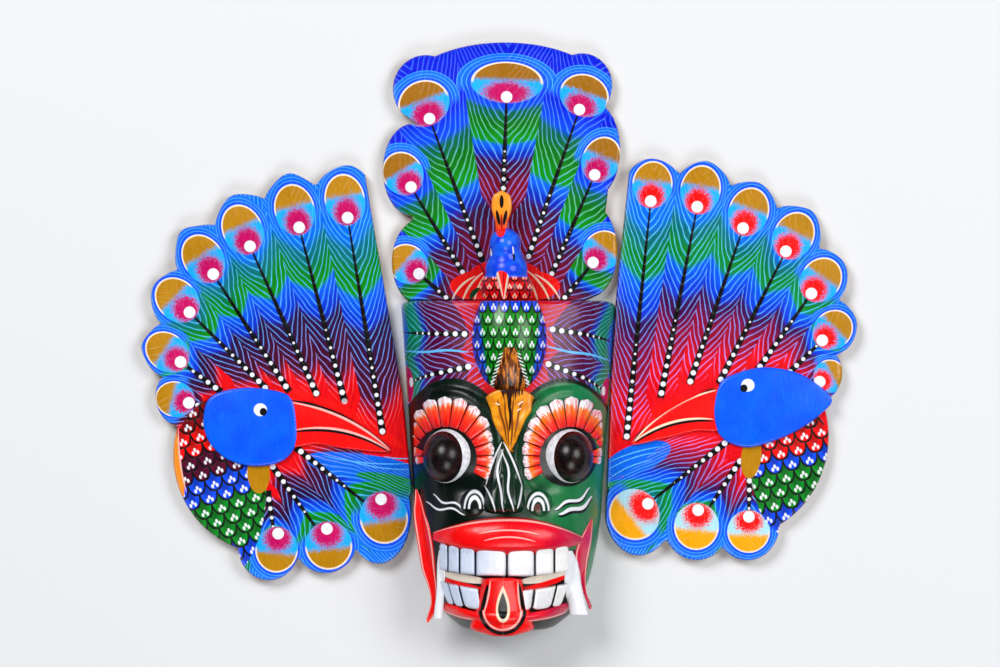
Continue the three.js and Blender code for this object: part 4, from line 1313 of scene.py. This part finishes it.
# The wings
leftFan = {
    **fanBase,
    "feathers": [
        ((-138.5, 85.8), (-106.2, -113), 17, 22), ((-181, 77.3), (-138.5, -85.8), 17, 22),
        ((-225.2, 60.4), (-161.5, -80.8), 17, 22),
        ((-258.4, 35.7), (-185.3, -77.3), 17, 22), ((-280.5, 0.8), (-204, -75.6), 17, 21),
        ((-289, -43.4), (-243.1, -77.3), 16, 20), ((-282.2, -83.3), (-256.7, -90.1), 15, 17),
        ((-196.3, -210.8), (-204, -160.7), 18, 19.5, (0.1, 1)),
        ((-152.2, -207.4), (-199.8, -140.2), 20, 20.5, (-0.1, 1)),
        ((-105.4, -183.6), (-180.2, -124.1), 20.5, 22.5, (-0.15, 1)),
    ],
    "ground": [(0.16, paint(0, 112, 250)), (0.24, paint(0, 112, 120)), (0.34, paint(0, 130, 20)),
               (0.41, paint(0, 146, 10)),
               (0.44, paint(0, 90, 245)), (0.54, paint(0, 50, 210)), (0.6, paint(40, 2, 64)),
               (0.84, paint(74, 0, 36)), (0.96, paint(236, 0, 12))],
    "under": [((-241.4, -75.6), (-88.4, -125), 13, 0, 7, "red"),
              ((-171.7, -133.4), (-79.9, -143.7), -2, 0, 11, "azure"),
              ((-129.2, -147), (-81.6, -153), 0, 0, 4, "green"),
              ((-158.1, -130.9), (-82.5, -137.7), -3, 0, 0.5, "paleBlue"),
              ((-142.8, -132.6), (-82.5, -142.8), -3, 0, 0.5, "paleBlue"),
              ((-105.4, -131.8), (-81.6, -133.4), -1, 0, 0.5, "paleBlue")],
    "barbs": [(0, paint(90, 200, 255)), (0.3, paint(70, 190, 255)), (0.5, paint(84, 176, 255)),
              (0.66, paint(96, 160, 250)), (0.84, paint(150, 140, 235)), (0.98, paint(255, 120, 120))],
}
rightFan = {
    **fanBase,
    "feathers": [
        ((122.4, 98.6), (100.3, -118.1), 17, 20), ((163.2, 94.3), (129.2, -82.5), 17, 21),
        ((204, 75.6), (153.8, -70.5), 17, 21),
        ((242.2, 55.2), (178.5, -70.5), 17, 21), ((265.2, 17.8), (211.7, -58.6), 17, 20),
        ((275.4, -24.6), (235.4, -63.8), 16, 18),
        ((272.8, -63.8), (248.2, -77.3), 14, 14), ((107.1, -181), (187, -118.1), 22, 21),
        ((159.8, -191.2), (197.2, -135.2), 19, 20, (0.1, 1)), ((204, -195.5), (204.8, -147), 18, 18),
    ],
    "ground": [(0.15, paint(0, 112, 250)), (0.22, paint(0, 112, 120)), (0.3, paint(0, 134, 40)),
               (0.36, paint(0, 140, 60)),
               (0.4, paint(0, 90, 245)), (0.5, paint(0, 56, 220)), (0.56, paint(60, 2, 80)),
               (0.72, paint(150, 0, 50)), (0.94, paint(236, 0, 20))],
    "under": [((90.1, -121.5), (176.8, -82.5), 9, 0, 6, "red"),
              ((81.6, -143.7), (137.7, -123.2), 0, 0, 12, "azure"),
              ((85, -136.8), (132.6, -123.2), 2, 0, 0.5, "paleBlue"),
              ((84.1, -143.7), (129.2, -128.3), 3, 0, 0.5, "paleBlue"),
              ((84.1, -152.2), (122.4, -135.2), 3, 0, 0.5, "paleBlue")],
    "barbs": [(0, paint(90, 200, 255)), (0.36, paint(70, 200, 255)), (0.5, paint(84, 170, 255)),
              (0.66, paint(110, 150, 255)), (0.84, paint(170, 140, 250))],
    "heart": "red", "lowEyes": -150, "lowGround": "iceBlue", "lowTip": "amber",
}
leftWing = {
    "side": -1, "centre": (190, -95), "fan": (155.6, -48.5, 132, -7.2, 18.8),
    "lobes": [(27, 28, 2, 3), (27, 28, 4, -4), (28, 27, 3, -3), (28, 26, 5, 0), (26, 24, 2, 0),
              (24, 22, 3, -1), (24, 20, 0, -4)],
    "others": [(203, -209, 26, 28), (155, -203, 27, 28), (109.5, -180, 27.5, 43), (200, -131, 84, 84),
               (110, -45, 60, 135)],
    "edge": (29.7, 103, -110, -180, 0.5, -200), "scales": ((-247.3, -160.7), 42, 78), "lean": 0.3,
    "rows": [(0, "darkRed"), (0.1, "red"), (0.28, "maroon"), (0.42, "blue"), (0.54, "green"),
             (0.77, "blue")],
    "strokes": [((-212.5, -128.3), (-210.8, -163.2), 0, 0, 9.5, "ochre"),
                ((-283.9, -104.5), (-275.4, -165.8), -2, 0, 4.0, "orange"),
                ((-279.6, -108), (-272.8, -162.3), -2, 0, 0.7, "pink")],
    "head": [(-258.4, -101.1), (-252.4, -81.6), (-229.5, -74), (-204, -74.8), (-184.4, -81.6),
             (-179.3, -101.1), (-180.2, -122.4), (-192.1, -136), (-215, -140.2), (-238, -134.3),
             (-253.3, -119.8)],
    "eye": ((-209.9, -92.2), (-207.4, -93.9)),
    "beak": [(-192.1, -82.5), (-163.2, -87.5), (-132.6, -100.3), (-99.5, -126.6), (-134.3, -125.8),
             (-161.5, -121.5), (-190.4, -121.5)],
    "beakStrokes": [((-185.3, -84.1), (-98.6, -126.6), 8.5, 0, 1.6, "black"),
                    ((-185.3, -85.8), (-99.5, -126.6), 7.5, 0, 1.0, "pink"),
                    ((-181.9, -111.3), (-100.3, -128.3), 8.5, 0, 1.6, "black"),
                    ((-181.9, -109.6), (-101.1, -126.6), 8.5, 0, 1.0, "pink")],
}
rightWing = {
    "side": 1, "centre": (200, -75), "fan": (141.1, -36.7, 134, -7.9, 18.3),
    "lobes": [(25, 24, 1, 0), (25, 26, 2, -4), (26, 25, 2, -6), (26, 25, 3, 1), (25, 24, 1, 1),
              (24, 21, 1, 0), (23, 19, 0, -8)],
    "others": [(111, -178, 29, 38), (160, -187, 29, 33), (203, -191, 27, 29), (190, -115, 82, 86),
               (115, -40, 60, 138)],
    "edge": (11, 103, 0, -61, 3.3, -175), "scales": ((242.2, -143.7), 36, 57), "lean": 0.22,
    "rows": [(0, "darkRed"), (0.16, "red"), (0.38, "blue"), (0.5, "green"), (0.74, "blue")],
    "strokes": [((208.2, -114.8), (204, -150.4), 0, 0, 8.5, "ochre")],
    "head": [(179.3, -70.5), (193.8, -61.2), (217.6, -56.1), (243.9, -60.4), (261.8, -70.5),
             (274.6, -83.3), (266.9, -94.3), (248.2, -108), (224.4, -119), (200.6, -124.1),
             (180.2, -114.8), (174.2, -94.3)],
    "eye": ((203.2, -71.4), (199.8, -74)),
    "beak": [(185.3, -72.2), (154.7, -82.5), (125, -100.3), (103.7, -121.5), (132.6, -116.5),
             (158.1, -110.5), (181.9, -107.1)],
    "beakStrokes": [((176.8, -74), (106.2, -119), -8.5, 0, 1.6, "black"),
                    ((176.8, -75.6), (107.1, -119), -7.5, 0, 1.0, "cream"),
                    ((174.2, -102), (107.1, -120.7), -7, 0, 1.6, "black"),
                    ((174.2, -100.3), (107.1, -119), -7, 0, 1.0, "cream")],
}


def buildWing(name, wing, fan):
    def boardColour(pen, where):
        colour, height = featherColour(pen, where, fan)
        spot, wide, tall = wing["scales"]
        colour, crown = scaleColour(pen, where, colour, spot, wide, tall, 15, 10.5, wing["rows"],
                                    wing["lean"])
        return strokes(pen, where, colour, wing["strokes"]), pen.calc("MAXIMUM", height, crown)

    def headColour(pen, where):
        cloud = pen.speckle(where, 0.05, 3.0)
        colour = pen.ramp(cloud, [(0.3, paint(0, 84, 250)), (0.7, paint(0, 98, 255))])
        white, black = wing["eye"]
        colour = pen.lay(colour, "white", pen.below(ovalRing(pen, where, white, 5.6, 5.4), 1.0, 0.05))
        return pen.lay(colour, "black", pen.below(ovalRing(pen, where, black, 3.1, 3.3), 1.0, 0.08)), 0.0

    def beakColour(pen, where):
        return strokes(pen, where, "red", wing["beakStrokes"]), 0.0

    out, up, radius, first, step = wing["fan"]
    lobes = []
    for i, (wide, long, tip, pull) in enumerate(wing["lobes"]):
        angle = math.radians(first + step * i)
        lobes.append((out + math.sin(angle) * (radius + pull), up + math.cos(angle) * (radius + pull),
                      wide, long, -angle, tip))
    lobes += [(*lobe, 0, 0) for lobe in wing["others"]]
    topOut, topUp, seatFrom, seatTo, footOut, footUp = wing["edge"]
    points = [(block["halfWidth"] + topOut, topUp), (halfWidthAt(-seatFrom) + clearance, seatFrom),
              (halfWidthAt(-seatTo) + clearance, seatTo),
              (halfWidthAt(-footUp) + clearance + footOut, footUp)]
    side = wing["side"]
    spots = [(side * feather[0][0], feather[0][1]) for feather in fan["feathers"]]
    shape = {"centre": wing["centre"], "lobes": lobes, "edges": list(zip(points, points[1:])),
             "crown": crownOf(spots, 19, 22)}
    buildBoard(name + "_board", name, shape, enamel(name + " feathers", boardColour), side)
    bm = bmesh.new()
    plate(bm, smoothOutline(wing["beak"], 6), 10, 15, 1.6)
    finishPiece(bm, name + "_beak", name, [enamel(name + " beak", beakColour)], 45)
    bm = bmesh.new()
    plate(bm, smoothOutline(wing["head"], 8), 10, 16, 2.4)
    finishPiece(bm, name + "_bird_head", name, [enamel(name + " bird", headColour)], 45)


# Camera, light and floor
view = {"wide": 0.85, "x": 0.0007, "y": 0.0032, "far": 5.0, "sensor": 36.0}
lights = {  # place, size, watts
    "key": ((-1.5, 1.7, 2.6), 1.7, 92), "fill": ((1.9, 0.6, 2.4), 1.8, 58),
    "low": ((0.3, -2.1, 2.2), 1.6, 34),
}


def buildStage():
    camera = bpy.data.objects.new("camera", bpy.data.cameras.new("camera"))
    camera.location = (view["x"], view["y"], view["far"])
    camera.data.sensor_width = view["sensor"]
    camera.data.lens = view["sensor"] * view["far"] / view["wide"]
    bpy.context.scene.collection.objects.link(camera)
    bpy.context.scene.camera = camera
    for name, (spot, size, watts) in lights.items():
        lamp = bpy.data.lights.new(name, "AREA")
        lamp.shape = "DISK"
        lamp.size = size
        lamp.energy = watts
        holder = bpy.data.objects.new(name, lamp)
        holder.location = spot
        holder.rotation_euler = (-Vector(spot)).to_track_quat("-Z", "Y").to_euler()
        bpy.context.scene.collection.objects.link(holder)
    world = bpy.data.worlds.new("studio")
    world.use_nodes = True
    world.node_tree.nodes["Background"].inputs[0].default_value = (0.8, 0.86, 1, 1)
    world.node_tree.nodes["Background"].inputs[1].default_value = 0.05
    bpy.context.scene.world = world
    bpy.context.scene.view_settings.view_transform = "Standard"
    bm = bmesh.new()
    bmesh.ops.create_grid(bm, x_segments=2, y_segments=2, size=4)
    mesh = bpy.data.meshes.new("floor")
    bm.to_mesh(mesh)
    bm.free()
    floor = bpy.data.objects.new("floor", mesh)
    pale = bpy.data.materials.new("floor")
    pale.use_nodes = True
    pale.node_tree.nodes["Principled BSDF"].inputs["Base Color"].default_value = (0.7, 0.71, 0.73, 1)
    pale.node_tree.nodes["Principled BSDF"].inputs["Roughness"].default_value = 0.9
    mesh.materials.append(pale)
    bpy.context.scene.collection.objects.link(floor)


buildStage()
buildBlock()
print("face block done")
buildBird()
buildTail()
buildEyes()
buildPetals()
buildNose()
print("brow, eyes and nose done")
buildLips()
buildTeeth()
buildTongue()
buildFlaps()
print("mouth done")
buildCrest()
buildPeacock()
print("crest and peacock done")
buildWing("left_wing", leftWing, leftFan)
buildWing("right_wing", rightWing, rightFan)
print("wings done")
